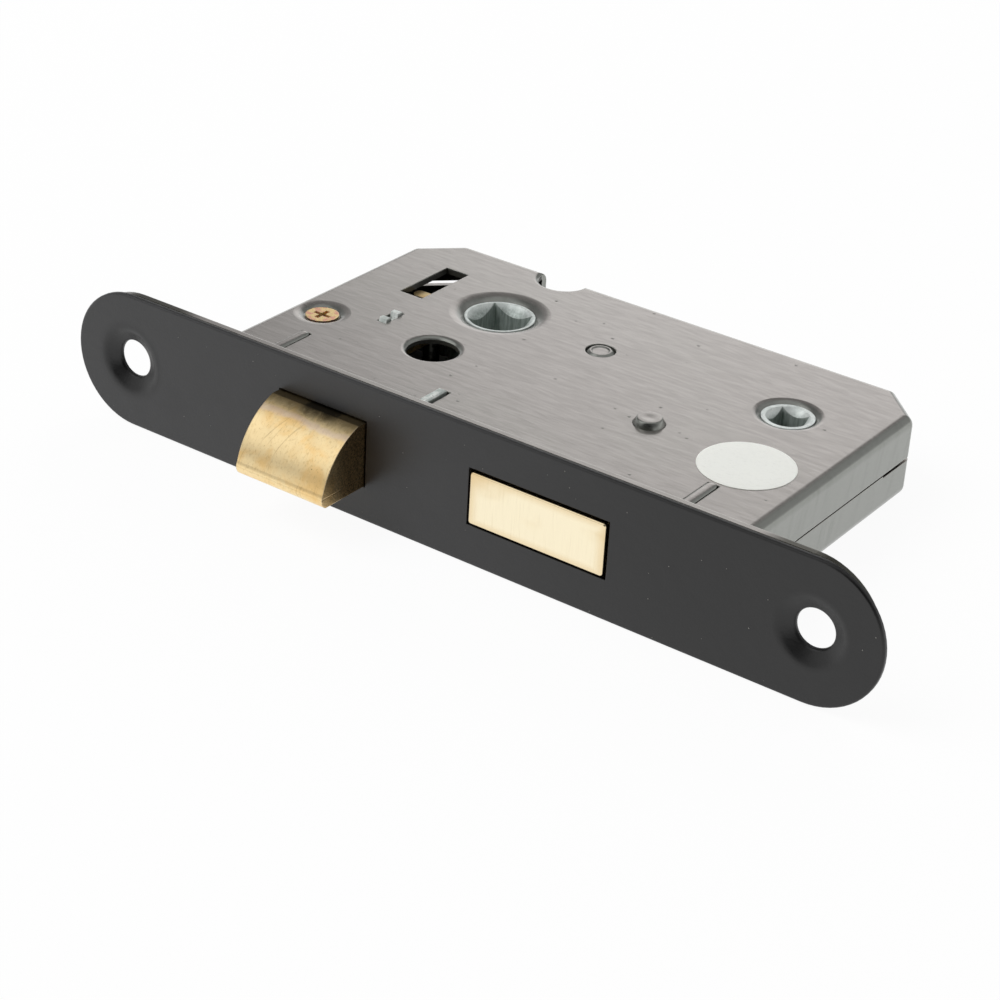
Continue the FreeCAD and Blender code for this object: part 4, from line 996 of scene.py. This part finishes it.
class Recipe(Wiring):
    """A Geometry Nodes tree with named inputs, which takes a mesh and gives a mesh."""

    def __init__(self, name: str) -> None:
        """Starts the tree.

        Args:
            name: The recipe's name.
        """
        super().__init__(bpy.data.node_groups.new(name, "GeometryNodeTree"))
        for way in ("INPUT", "OUTPUT"):
            self.tree.interface.new_socket("Geometry", in_out=way, socket_type="NodeSocketGeometry")
        self.entry = self.add("NodeGroupInput")
        self.values: dict[str, Any] = {}

    def size(self, name: str, value: Any, kind: str = "Float") -> Any:
        """Adds a named input.

        Args:
            name: The input's name.
            value: What it is set to on the modifier.
            kind: Float, Int or Vector.

        Returns:
            The input's socket inside the tree.
        """
        kind = f"NodeSocket{kind}"
        item = self.tree.interface.new_socket(name, in_out="INPUT", socket_type=kind)
        self.values[item.identifier] = value
        return self.entry.outputs[name]

    def node(self, kind: str, out: str | int = 0, **inputs: Any) -> Any:
        """Adds one geometry node and feeds its inputs.

        Args:
            kind: The node's type, without the words that all geometry nodes share.
            out: The output that is wanted.
            inputs: Input names with underscores for spaces, and what each is fed.

        Returns:
            The output socket.
        """
        named = {name.replace("_", " "): value for name, value in inputs.items()}
        return self.add(f"GeometryNode{kind}", named).outputs[out]

    def place(self, x: Any, y: Any, z: Any) -> Any:
        """Puts three sockets or numbers together as a vector."""
        return self.add("ShaderNodeCombineXYZ", {"X": x, "Y": y, "Z": z}).outputs[0]

    def make(
        self, piece: str, start: bpy.types.Mesh, geometry: Any, finish: bpy.types.Material
    ) -> bpy.types.Object:
        """Ends the tree and turns its result into a plain mesh object.

        Args:
            piece: The new piece's name.
            start: The mesh that the tree works on.
            geometry: The socket with the shape.
            finish: The material that the shape gets.

        Returns:
            The piece, at the origin, with no modifier left on it.
        """
        real = self.node("RealizeInstances", Geometry=geometry)
        dressed = self.node("SetMaterial", Geometry=real, Material=finish)
        self.add("NodeGroupOutput", {0: dressed})
        thing = stand(piece, start)
        modifier = thing.modifiers.new(self.tree.name, "NODES")
        modifier.node_group = self.tree
        for identifier, value in self.values.items():
            modifier[identifier] = value
        graph = bpy.context.evaluated_depsgraph_get()
        mesh = bpy.data.meshes.new_from_object(thing.evaluated_get(graph), depsgraph=graph)
        thing.modifiers.clear()
        thing.data = mesh
        return thing


def as_mesh(shape: bmesh.types.BMesh, name: str) -> bpy.types.Mesh:
    """Turns a finished shape into a mesh.

    Args:
        shape: The shape, which is freed.
        name: The mesh's name.

    Returns:
        The mesh.
    """
    mesh = bpy.data.meshes.new(name)
    shape.to_mesh(mesh)
    shape.free()
    return mesh


def lathe(name: str, outline: Sequence[Point], steps: int) -> bpy.types.Mesh:
    """Turns an outline about the Z axis into a closed mesh.

    Args:
        name: The mesh's name.
        outline: Radius and height pairs in mm, from the axis at the top to the axis below.
        steps: How many faces lie round the axis.

    Returns:
        The mesh.
    """
    shape = bmesh.new()
    rings = []
    for radius, height in outline:
        if radius == 0:
            rings.append([shape.verts.new((0, 0, height * MM))] * steps)
            continue
        turns = (math.tau * step / steps for step in range(steps))
        rings.append([
            shape.verts.new((radius * MM * math.cos(a), radius * MM * math.sin(a), height * MM))
            for a in turns
        ])
    for above, below in zip(rings, rings[1:]):
        for step in range(steps):
            after = (step + 1) % steps
            corners = [above[step], below[step], below[after], above[after]]
            face = shape.faces.new(list(dict.fromkeys(corners)))
            face.smooth = True
    bmesh.ops.recalc_face_normals(shape, faces=shape.faces)
    return as_mesh(shape, name)


def merged_copy(node: bpy.types.Object) -> bpy.types.Mesh:
    """Copies a node's loose triangles and joins them, as ground for specks.

    Args:
        node: The CAD node's object.

    Returns:
        The copy.
    """
    shape = bmesh.new()
    shape.from_mesh(node.data)
    bmesh.ops.remove_doubles(shape, verts=shape.verts, dist=SAME_PLACE)
    return as_mesh(shape, f"{node.name}_ground")


def cover(node: bpy.types.Object, finish: bpy.types.Material) -> None:
    """Puts one finish on every slot of a node of the frame.

    Args:
        node: The CAD node's object.
        finish: The material.
    """
    for slot in node.material_slots:
        slot.link = "DATA"
        slot.material = finish
    LOG.info("%s: %s", node.name, finish.name)


def settle(piece: bpy.types.Object, body: Body, slot: str, *nodes: str) -> None:
    """Lets a new piece ride on its body, and hides the nodes that it stands for.

    Args:
        piece: The piece, in place.
        body: The body that carries it.
        slot: The record's material slot; not used.
        nodes: The CAD nodes that it replaces.
    """
    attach(piece, body.value)
    if nodes:
        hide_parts(*nodes)
    LOG.info("%s: %d faces on %s", piece.name, len(piece.data.polygons), body.value)


def limits(node: str) -> tuple[Vector, Vector]:
    """Gives the lowest and highest corner of a node at rest, mm."""
    low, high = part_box(node)
    return low / MM, high / MM


def made(finish: Any) -> Any:
    """Declares a field that holds a finish's material, built with the lock."""
    return field(default_factory=finish.material)


@dataclass(frozen=True)
class Finishes:
    """The materials of the whole lock, each built once."""

    black: bpy.types.Material = made(SatinBlack())
    enamel: bpy.types.Material = made(DrawnEnamel())
    zinc: bpy.types.Material = made(BrightZinc())
    zinc_along: bpy.types.Material = made(BrightZinc(grain=Grain.ALONG))
    cast: bpy.types.Material = made(CastZinc())
    yellow: bpy.types.Material = made(YellowZinc())
    latch: bpy.types.Material = made(LatchBrass())
    bolt: bpy.types.Material = made(PolishedBrass())
    steel: bpy.types.Material = made(SpringSteel())
    paper: bpy.types.Material = made(LabelPaper())
    dust: bpy.types.Material = made(DustGrain())


@dataclass(frozen=True)
class Specks:
    """Grains scattered over the flat of a plate: nibs under lacquer, or stuck dust.

    Args:
        name: The piece's name.
        facing: The side of the plate that they lie on.
        per_area: How many lie on 100 square millimetres.
        small: Smallest radius, mm.
        large: Largest radius, mm.
        rise: Height as a share of the radius.
        seed: Start of the random draw.
        level: How squarely the ground must face that side, 1 being fully.
    """

    name: str
    facing: Facing
    per_area: float
    small: float
    large: float
    rise: float
    seed: int
    level: float = 0.999

    def build(self, ground: bpy.types.Object, finish: bpy.types.Material, slot: str) -> None:
        """Scatters the grains.

        Args:
            ground: The CAD node that they lie on.
            finish: Their material.
            slot: The record's material slot that they go with.
        """
        recipe = Recipe(f"scatter_{self.name}")
        density = recipe.size("Grains per square metre", self.per_area * 1e4)
        small = recipe.size("Smallest radius", self.small * MM)
        large = recipe.size("Largest radius", self.large * MM)
        rise = recipe.size("Rise", self.rise)
        seed = recipe.size("Seed", self.seed, "Int")
        squareness = recipe.along(recipe.node("InputNormal"), self.facing.value)
        spread = recipe.add("GeometryNodeDistributePointsOnFaces", {
            "Mesh": recipe.entry.outputs["Geometry"],
            "Selection": recipe.math("GREATER_THAN", squareness, self.level),
            "Density": density,
            "Seed": seed,
        })
        grain = recipe.node("MeshIcoSphere", Radius=1.0, Subdivisions=2)
        draw = recipe.add("FunctionNodeRandomValue", {"Seed": seed}, data_type="FLOAT")
        floats = [socket for socket in draw.inputs if socket.type == "VALUE"]
        recipe.feed(floats[0], small)
        recipe.feed(floats[1], large)
        radius = next(socket for socket in draw.outputs if socket.type == "VALUE")
        placed = recipe.node(
            "InstanceOnPoints",
            Points=spread.outputs["Points"],
            Instance=recipe.node("SetShadeSmooth", Geometry=grain),
            Rotation=spread.outputs["Rotation"],
            Scale=recipe.place(radius, radius, recipe.times(radius, rise)),
        )
        settle(recipe.make(self.name, merged_copy(ground), placed, finish), Body.CASE, slot)


def row_of(
    name: str, one: bpy.types.Mesh, first: Vector, last: Vector, finish: bpy.types.Material
) -> bpy.types.Object:
    """Sets two of a part in a row.

    Args:
        name: The new piece's name.
        one: The mesh of one, about the origin.
        first: Place of the first.
        last: Place of the last.
        finish: Their material.

    Returns:
        The piece.
    """
    recipe = Recipe(f"row_of_{name}")
    count = recipe.size("Count", 2, "Int")
    start = recipe.size("Start", first, "Vector")
    step = recipe.size("Step", last - first, "Vector")
    line = recipe.node("MeshLine", Count=count, Start_Location=start, Offset=step)
    placed = recipe.node("InstanceOnPoints", Points=line, Instance=recipe.entry.outputs["Geometry"])
    return recipe.make(name, one, placed, finish)


@dataclass(frozen=True)
class LugCaps:
    """The rounded, painted tips of the forend's ears, which fill the cover's front slots.

    Args:
        left: Place of the first along X, mm.
        right: Place of the second along X, mm.
        start: Front end along Y, mm.
        end: Rear end along Y, mm.
        half_width: Half the width, mm.
        base: Height at which the rounding starts, mm.
        rise: Height of the rounding, mm.
        fullness: Power of the rounding, 2 for an ellipse and more for a squarer one.
        around: Points round the outline.
        upward: Rings up the rounding.
    """

    left: float = -41.35
    right: float = 38.45
    start: float = 8.0
    end: float = 16.8
    half_width: float = 0.96
    base: float = 6.9
    rise: float = 0.7
    fullness: float = 3.0
    around: int = 32
    upward: int = 8

    def ring(self, shape: bmesh.types.BMesh, level: int) -> list[bmesh.types.BMVert]:
        """Draws the outline at one level of the rounding.

        Args:
            shape: The shape that it is drawn in.
            level: The level, 0 at the base.

        Returns:
            The outline's points.
        """
        turn = math.pi / 2 * level / self.upward
        power = 2 / self.fullness
        wide = self.half_width * max(math.cos(turn), 0.0) ** power
        height = self.base + self.rise * math.sin(turn) ** power
        straight = (self.end - self.start) / 2 - self.half_width
        middle = (self.end + self.start) / 2
        points = []
        for point in range(self.around):
            angle = math.tau * (point + 0.5) / self.around
            along = middle + math.copysign(straight, math.sin(angle)) + wide * math.sin(angle)
            points.append(shape.verts.new((wide * math.cos(angle) * MM, along * MM, height * MM)))
        return points

    def one(self) -> bpy.types.Mesh:
        """Shapes one tip as a long dome.

        Returns:
            The mesh, in place along Y and Z.
        """
        shape = bmesh.new()
        rings = [self.ring(shape, level) for level in range(self.upward + 1)]
        for low, high in zip(rings, rings[1:]):
            for point in range(self.around):
                after = (point + 1) % self.around
                shape.faces.new((low[point], low[after], high[after], high[point])).smooth = True
        shape.faces.new(list(reversed(rings[0])))
        bmesh.ops.remove_doubles(shape, verts=shape.verts, dist=2 * SAME_PLACE)
        bmesh.ops.recalc_face_normals(shape, faces=shape.faces)
        return as_mesh(shape, "lug_tip")

    def build(self, finish: bpy.types.Material) -> None:
        """Sets a painted tip over each ear."""
        places = (Vector((x * MM, 0.0, 0.0)) for x in (self.left, self.right))
        settle(row_of("forend_lug_tips", self.one(), *places, finish), Body.CASE, "case_enamel")


@dataclass(frozen=True)
class RivetRow:
    """Two rivets in a row through a brass head and its tail, each with a rolled end.

    Args:
        name: The piece's name.
        node: The CAD node that it stands for.
        body: The body that carries it.
        radius: Radius of the shank, mm.
        edge: Rounding of its ends, mm.
        dish: Depth of the punch mark in each end, mm.
        steps: Faces round the shank.
    """

    name: str
    node: str
    body: Body
    radius: float
    edge: float = 0.16
    dish: float = 0.14
    steps: int = 32

    def outline(self, low: float, high: float) -> list[Point]:
        """Draws half a rivet.

        Args:
            low: Height of its lower end, mm.
            high: Height of its upper end, mm.

        Returns:
            Radius and height pairs from the top down.
        """
        punch = (0.0, -self.dish), (0.35 * self.radius, -0.7 * self.dish), (0.6 * self.radius, 0.0)
        end = list(punch)
        for step in range(5):
            turn = math.radians(22.5 * step)
            inward = self.edge * (1 - math.sin(turn))
            end.append((self.radius - inward, -self.edge * (1 - math.cos(turn))))
        return [(r, high + h) for r, h in end] + [(r, low - h) for r, h in reversed(end)]

    def build(self, finish: bpy.types.Material) -> None:
        """Sets the rivets in the place of the CAD's.

        Args:
            finish: Their material.
        """
        low, high = limits(self.node)
        rivet = lathe(f"{self.name}_one", self.outline(low.z, high.z), self.steps)
        first = Vector((low.x + self.radius, low.y + self.radius, 0.0)) * MM
        last = Vector((high.x - self.radius, high.y - self.radius, 0.0)) * MM
        settle(row_of(self.name, rivet, first, last, finish), self.body, "brass", self.node)


@dataclass(frozen=True)
class PushSpring:
    """The coil that pushes the latch out, with closed end turns.

    Args:
        turns: How many turns the wire makes.
        closed: Share of the wire in each closed end.
        wire: Radius of the wire, mm.
        travel: How far the latch goes in, mm; not used.
        steps: Points on each turn.
        sides: Sides of the wire's section.
    """

    turns: float = 5.0
    closed: float = 0.13
    wire: float = 0.4
    travel: float = 11.0
    steps: int = 36
    sides: int = 14

    def build(self, finish: bpy.types.Material) -> None:
        """Winds the spring in the place of the CAD's.

        Args:
            finish: The wire's material.
        """
        low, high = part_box("latch_spring")
        recipe = Recipe("wind_latch_spring")
        turns = recipe.size("Turns", self.turns)
        closed = recipe.size("Closed share", self.closed)
        wire = recipe.size("Wire radius", self.wire * MM)
        coil = recipe.size("Coil radius", (high.x - low.x) / 2 - self.wire * MM)
        middle = recipe.size("Middle", (low.x + high.x) / 2)
        rise = recipe.size("Start", low.y + self.wire * MM)
        length = recipe.size("Length", high.y - low.y - 2 * self.wire * MM)
        points = recipe.size("Points", int(self.turns * self.steps) + 1, "Int")
        line = recipe.node("ResampleCurve", Curve=recipe.node("CurvePrimitiveLine"), Count=points)
        along = recipe.node("SplineParameter", "Factor")
        angle = recipe.times(along, turns, math.tau)
        far = recipe.math("SUBTRACT", 1.0, closed)
        end = recipe.times(wire, 0.5)
        free = recipe.math("SUBTRACT", length, wire)
        for start, stop, reach in ((0.0, closed, end), (closed, far, free), (far, 1.0, end)):
            part = recipe.spread(along, start, stop, (0.0, reach), "LINEAR")
            rise = recipe.math("ADD", rise, part)
        across = recipe.times(recipe.math("COSINE", angle), coil)
        height = recipe.times(recipe.math("SINE", angle), coil)
        spot = recipe.place(recipe.math("ADD", across, middle), rise, height)
        wound = recipe.node("SetPosition", Geometry=line, Position=spot)
        section = recipe.node("CurvePrimitiveCircle", Resolution=self.sides, Radius=wire)
        tube = recipe.node("CurveToMesh", Curve=wound, Profile_Curve=section, Fill_Caps=True)
        smooth = recipe.node("SetShadeSmooth", Geometry=tube)
        piece = recipe.make("latch_push_spring", bpy.data.meshes.new("wire_start"), smooth, finish)
        settle(piece, Body.CASE, "spring_steel", "latch_spring")
        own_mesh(piece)


def turned(
    name: str,
    node: str,
    outline: Sequence[Point],
    steps: int,
    finish: bpy.types.Material,
    slot: str,
) -> None:
    """Turns a round piece of the case on the axis of the node that it stands for.

    Args:
        name: The piece's name.
        node: The CAD node.
        outline: Radius and height pairs in mm, from the axis at the top to the axis below.
        steps: How many faces lie round the axis.
        finish: Its material.
        slot: The record's material slot.
    """
    low, high = limits(node)
    mesh = lathe(name, outline, steps)
    axis = Vector(((low.x + high.x) / 2, (low.y + high.y) / 2, 0.0)) * MM
    mesh.transform(Matrix.Translation(axis))
    mesh.materials.append(finish)
    settle(stand(name, mesh), Body.CASE, slot, node)


@dataclass(frozen=True)
class RolledPost:
    """The front post's proud end: a rolled shoulder round a shallow punch mark.

    Args:
        step: Height of the straight part above the cover's face, mm.
        inset: How far the top's edge lies inside the shank, mm.
        roll: Radius of the rolled shoulder, mm.
        dish: Depth of the punch mark, mm.
        face: Height of the cover's face, mm.
        wall: Distance of the walls' inner faces from the middle, mm.
        spigot: Radius of the riveted lower end, mm.
        steps: Faces round the post.
    """

    step: float = 0.12
    inset: float = 0.42
    roll: float = 0.3
    dish: float = 0.07
    face: float = 7.2
    wall: float = 6.0
    spigot: float = 2.0
    steps: int = 64

    def build(self, finish: bpy.types.Material) -> None:
        """Turns the post in the place of the CAD's.

        Args:
            finish: Its material.
        """
        low, high = limits("post_front")
        radius, top = (high.x - low.x) / 2, high.z
        flat = radius - self.inset - self.roll
        floor = top - self.dish
        outline = [(0.0, floor), (0.22 * flat, floor), (0.5 * flat, top - 0.3 * self.dish)]
        for step in range(7):
            turn = math.radians(12.5 * step)
            drop = self.roll * (1 - math.cos(turn))
            outline.append((flat + self.roll * math.sin(turn), top - drop))
        outline += [(radius, self.face + self.step), (radius, -self.wall)]
        outline += [(self.spigot, -self.wall), (self.spigot, low.z), (0.0, low.z)]
        turned("rolled_front_post", "post_front", outline, self.steps, finish, "case_enamel")


@dataclass(frozen=True)
class Label:
    """The round paper label, with its edge pressed down onto the cover.

    Args:
        edge: Width of the rounded edge, mm.
        steps: Faces round the label.
    """

    edge: float = 0.12
    steps: int = 96

    def build(self, finish: bpy.types.Material) -> None:
        """Cuts the label in the place of the CAD's.

        Args:
            finish: Its material.
        """
        low, high = limits("inspection_label")
        radius = (high.x - low.x) / 2
        top = [(0.0, high.z), (radius * 0.5, high.z), (radius - self.edge, high.z)]
        for step in range(1, 6):
            turn = math.radians(18 * step)
            inward = self.edge * (1 - math.sin(turn))
            top.append((radius - inward, low.z + (high.z - low.z) * math.cos(turn)))
        outline = [*top, (0.0, low.z)]
        turned("paper_label", "inspection_label", outline, self.steps, finish, "label_paper")


@dataclass(frozen=True)
class Forend:
    """The black front plate, the structural plate behind it and the tips of its lugs."""

    tips: LugCaps = LugCaps()
    dust: Specks = Specks("forend_dust", Facing.FRONT, 1.6, 0.05, 0.11, rise=0.5, seed=11)

    def build(self, nodes: Nodes, finishes: Finishes) -> None:
        """Dresses both plates, tips the lugs and lays a little dust on the front.

        Args:
            nodes: The frame's nodes.
            finishes: The lock's materials.
        """
        cover(nodes["outer_forend"], finishes.black)
        cover(nodes["inner_forend"], finishes.enamel)
        self.tips.build(finishes.enamel)
        self.dust.build(nodes["outer_forend"], finishes.dust, "forend_black")


@dataclass(frozen=True)
class Case:
    """The two trays, the posts, brackets and small springs in them, and the label."""

    nibs: Specks = Specks("lacquer_nibs", Facing.TOP, 0.9, 0.12, 0.3, rise=0.22, seed=3)
    label: Label = Label()
    post: RolledPost = RolledPost()
    painted: tuple[str, ...] = ("case_cover", "case_body", "post_rear")
    oiled: tuple[str, ...] = (
        "screw_post", "follower_stop_pin", "spring_pins", "return_spring", "bolt_spring",
    )

    def build(self, nodes: Nodes, finishes: Finishes) -> None:
        """Dresses the case and makes the nibs, the label and the front post.

        Args:
            nodes: The frame's nodes.
            finishes: The lock's materials.
        """
        for names, finish in (
            (self.painted, finishes.enamel),
            (self.oiled, finishes.steel),
            (("divider_bracket",), finishes.zinc),
            (("spring_bracket",), finishes.zinc_along),
            (("cover_screw",), finishes.yellow),
        ):
            for name in names:
                cover(nodes[name], finish)
        self.nibs.build(nodes["case_cover"], finishes.enamel, "case_enamel")
        self.label.build(finishes.paper)
        self.post.build(finishes.enamel)


@dataclass(frozen=True)
class Latch:
    """The sprung brass head, its tail, rivets and coil."""

    rivets: RivetRow = RivetRow("tail_rivets_latch", "latch_rivets", Body.LATCH, radius=1.0)
    spring: PushSpring = PushSpring()

    def build(self, nodes: Nodes, finishes: Finishes) -> None:
        """Dresses the head and tail, and makes the rivets and the spring.

        Args:
            nodes: The frame's nodes.
            finishes: The lock's materials.
        """
        for name in ("latch_head", "latch_tail"):
            cover(nodes[name], finishes.latch)
        self.rivets.build(finishes.latch)
        self.spring.build(finishes.steel)


@dataclass(frozen=True)
class DeadBolt:
    """The brass bolt, its steel tail and the rivets that join them."""

    rivets: RivetRow = RivetRow("tail_rivets_bolt", "bolt_rivets", Body.BOLT, radius=1.25)

    def build(self, nodes: Nodes, finishes: Finishes) -> None:
        """Dresses the bolt and its tail, and makes the rivets.

        Args:
            nodes: The frame's nodes.
            finishes: The lock's materials.
        """
        cover(nodes["bolt_head"], finishes.bolt)
        cover(nodes["bolt_tail"], finishes.steel)
        self.rivets.build(finishes.bolt)


@dataclass(frozen=True)
class Followers:
    """The two cast hubs that the spindles turn."""

    names: tuple[str, ...] = ("lever_follower", "bathroom_follower")

    def build(self, nodes: Nodes, finishes: Finishes) -> None:
        """Dresses both hubs.

        Args:
            nodes: The frame's nodes.
            finishes: The lock's materials.
        """
        for name in self.names:
            cover(nodes[name], finishes.cast)


@dataclass(frozen=True)
class Panel:
    """A soft patch of the room, brighter or dimmer than the rest.

    Args:
        azimuth: Direction about Z in degrees, 0 along +X and 90 along +Y.
        height: Degrees above the horizon.
        inner: Half angle of its full effect, degrees.
        outer: Half angle at which it ends, degrees.
        strength: Brightness that it adds, or share that it takes away.
    """

    azimuth: float
    height: float
    inner: float
    outer: float
    strength: float

    def direction(self) -> Vector:
        """Works out the way to its middle.

        Returns:
            A unit vector.
        """
        across = math.cos(math.radians(self.height))
        turn = math.radians(self.azimuth)
        rise = math.sin(math.radians(self.height))
        return Vector((across * math.cos(turn), across * math.sin(turn), rise))

    def patch(self, wiring: Wiring, where: Any, out: Span) -> Any:
        """Runs from one value outside the panel to another in its middle.

        Args:
            wiring: The room's tree.
            where: The socket with the direction looked in.
            out: The values outside and inside.

        Returns:
            The value socket.
        """
        outer, inner = (math.cos(math.radians(angle)) for angle in (self.outer, self.inner))
        return wiring.spread(wiring.along(where, self.direction()), outer, inner, out)


@dataclass(frozen=True)
class SoftBox:
    """A square lamp that faces the lock and shows in no reflection.

    Args:
        name: The lamp's name.
        spot: Its place, m.
        size: Its side, m.
        watts: Its power.
    """

    name: str
    spot: tuple[float, float, float]
    size: float
    watts: float

    def hang(self) -> None:
        """Hangs the lamp in the scene."""
        data = bpy.data.lights.new(self.name, "AREA")
        data.shape = "SQUARE"
        data.size = self.size
        data.energy = self.watts
        lamp = stand(self.name, data)
        lamp.location = self.spot
        lamp.rotation_euler = Vector(self.spot).to_track_quat("Z", "Y").to_euler()
        lamp.visible_camera = False
        lamp.visible_glossy = False


@dataclass(frozen=True)
class Studio:
    """The floor, the soft light and the camera.

    Args:
        lens: Focal length, mm.
        sensor: Width of the frame that it is given for, mm.
        eye: The camera's place, m.
        right: The picture's rightward direction.
        down: The picture's downward direction.
        forward: The direction that the camera looks.
        clip: Nearest and farthest distance that the camera sees, m.
        rest_front: Y and Z of the edge that rests on the floor in front, m.
        rest_rear: The same at the rear.
        clear: Depth of the floor below those edges, mm.
        reach: Half the floor's side, m.
        white: Share of plain white that the floor shows.
        floor_tone: The floor's own grey.
        horizon: Brightness of the room at the horizon.
        overhead: Brightness of the room above.
        climb: Height over which it falls from one to the other, as the sine of the angle.
        panels: Its bright patches.
        unlit: The side of the room without light, in front and to the right.
        lamps: Its soft boxes.
    """

    lens: float = 89.494
    sensor: float = 36.0
    eye: tuple[float, float, float] = (0.1987976, -0.2737982, 0.1841629)
    right: tuple[float, float, float] = (0.80730977, 0.58786894, 0.05158532)
    down: tuple[float, float, float] = (0.32072263, -0.36370001, -0.87456234)
    forward: tuple[float, float, float] = (-0.49536646, 0.7225873, -0.48216145)
    clip: Span = (0.01, 20.0)
    rest_front: Point = (0.0025, -0.012)
    rest_rear: Point = (0.065, -0.0072)
    clear: float = 0.04
    reach: float = 3.0
    white: float = 0.94
    floor_tone: float = 0.96
    horizon: float = 0.9
    overhead: float = 0.16
    climb: Span = (0.04, 0.24)
    panels: tuple[Panel, ...] = (
        Panel(116.0, 20.0, 5.0, 18.0, 0.98),
        Panel(46.0, 30.0, 18.0, 50.0, 0.36),
        Panel(150.0, 4.0, 12.0, 40.0, 0.15),
        Panel(-137.0, 42.0, 16.0, 36.0, 0.9),
        Panel(0.0, 90.0, 14.0, 32.0, 0.45),
    )
    unlit: Panel = Panel(288.0, 12.0, 22.0, 46.0, 0.88)
    lamps: tuple[SoftBox, ...] = (
        SoftBox("soft_box_left", (-0.7, -0.5, 1.1), 0.9, 9.4),
        SoftBox("soft_box_rear", (-0.3, 1.1, 0.9), 0.8, 4.4),
    )

    def camera(self) -> None:
        """Sets the camera where the photograph was taken from."""
        data = bpy.data.cameras.new("photograph")
        data.lens = self.lens
        data.sensor_width = self.sensor
        data.sensor_fit = "HORIZONTAL"
        data.clip_start, data.clip_end = self.clip
        spot = stand("photograph", data)
        columns = self.right, [-v for v in self.down], [-v for v in self.forward]
        turn = Matrix([list(row) for row in zip(*columns)])
        spot.matrix_world = Matrix.Translation(self.eye) @ turn.to_4x4()
        bpy.context.scene.camera = spot

    def floor(self) -> None:
        """Lays the floor under the edges that the lock rests on."""
        (y0, z0), (y1, z1) = self.rest_front, self.rest_rear
        slope = (z1 - z0) / (y1 - y0)
        low = z0 - self.clear * MM
        corners = [
            (x * self.reach, y * self.reach, low + slope * (y * self.reach - y0))
            for x, y in ((-1, -1), (1, -1), (1, 1), (-1, 1))
        ]
        mesh = bpy.data.meshes.new("floor")
        mesh.from_pydata(corners, [], [(0, 1, 2, 3)])
        mesh.materials.append(self.paper_sweep())
        stand("floor", mesh)

    def paper_sweep(self) -> bpy.types.Material:
        """Builds the floor's white, which shows plain to the camera and keeps the shadow.

        Returns:
            The material.
        """
        material = bpy.data.materials.new("paper_sweep")
        material.use_nodes = True
        sweep = Wiring(material.node_tree)
        matt = sweep.add("ShaderNodeBsdfDiffuse", {"Color": (self.floor_tone,) * 3})
        white = sweep.add("ShaderNodeEmission", {"Color": (1.0, 1.0, 1.0)})
        rays = sweep.add("ShaderNodeLightPath").outputs
        seen = sweep.math("MAXIMUM", rays["Is Camera Ray"], rays["Is Glossy Ray"])
        seen = sweep.math("MAXIMUM", seen, rays["Is Transmission Ray"])
        share = sweep.times(seen, self.white)
        shaders = {"Fac": share, 1: matt.outputs["BSDF"], 2: white.outputs["Emission"]}
        blend = sweep.add("ShaderNodeMixShader", shaders)
        sweep.add("ShaderNodeOutputMaterial", {"Surface": blend.outputs["Shader"]})
        return material

    def room(self) -> None:
        """Makes the room: pale horizon, dim ceiling, one unlit side and the bright panels."""
        world = bpy.data.worlds.new("studio")
        bpy.context.scene.world = world
        world.use_nodes = True
        room = Wiring(world.node_tree)
        where = room.add("ShaderNodeTexCoord").outputs["Generated"]
        height = room.split(where)[2]
        total = room.spread(height, *self.climb, (self.horizon, self.overhead))
        total = room.times(total, self.unlit.patch(room, where, (1.0, 1.0 - self.unlit.strength)))
        for panel in self.panels:
            total = room.math("ADD", total, panel.patch(room, where, (0.0, panel.strength)))
        light = room.add("ShaderNodeBackground", {"Color": (1.0, 1.0, 1.0), "Strength": total})
        room.add("ShaderNodeOutputWorld", {"Surface": light.outputs["Background"]})

    def build(self) -> None:
        """Sets up camera, floor, room and lamps."""
        self.camera()
        self.floor()
        self.room()
        for lamp in self.lamps:
            lamp.hang()


def main() -> None:
    """Builds the lock's looks in order and reports each piece."""
    logging.basicConfig(level=logging.INFO, format="%(name)s: %(message)s")
    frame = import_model()
    bpy.context.scene.view_settings.view_transform = "Standard"

    Studio().build()
    finishes = Finishes()
    for assembly in (Forend(), Case(), Latch(), DeadBolt(), Followers()):
        assembly.build(frame["nodes"], finishes)


if __name__ == "__main__":
    main()
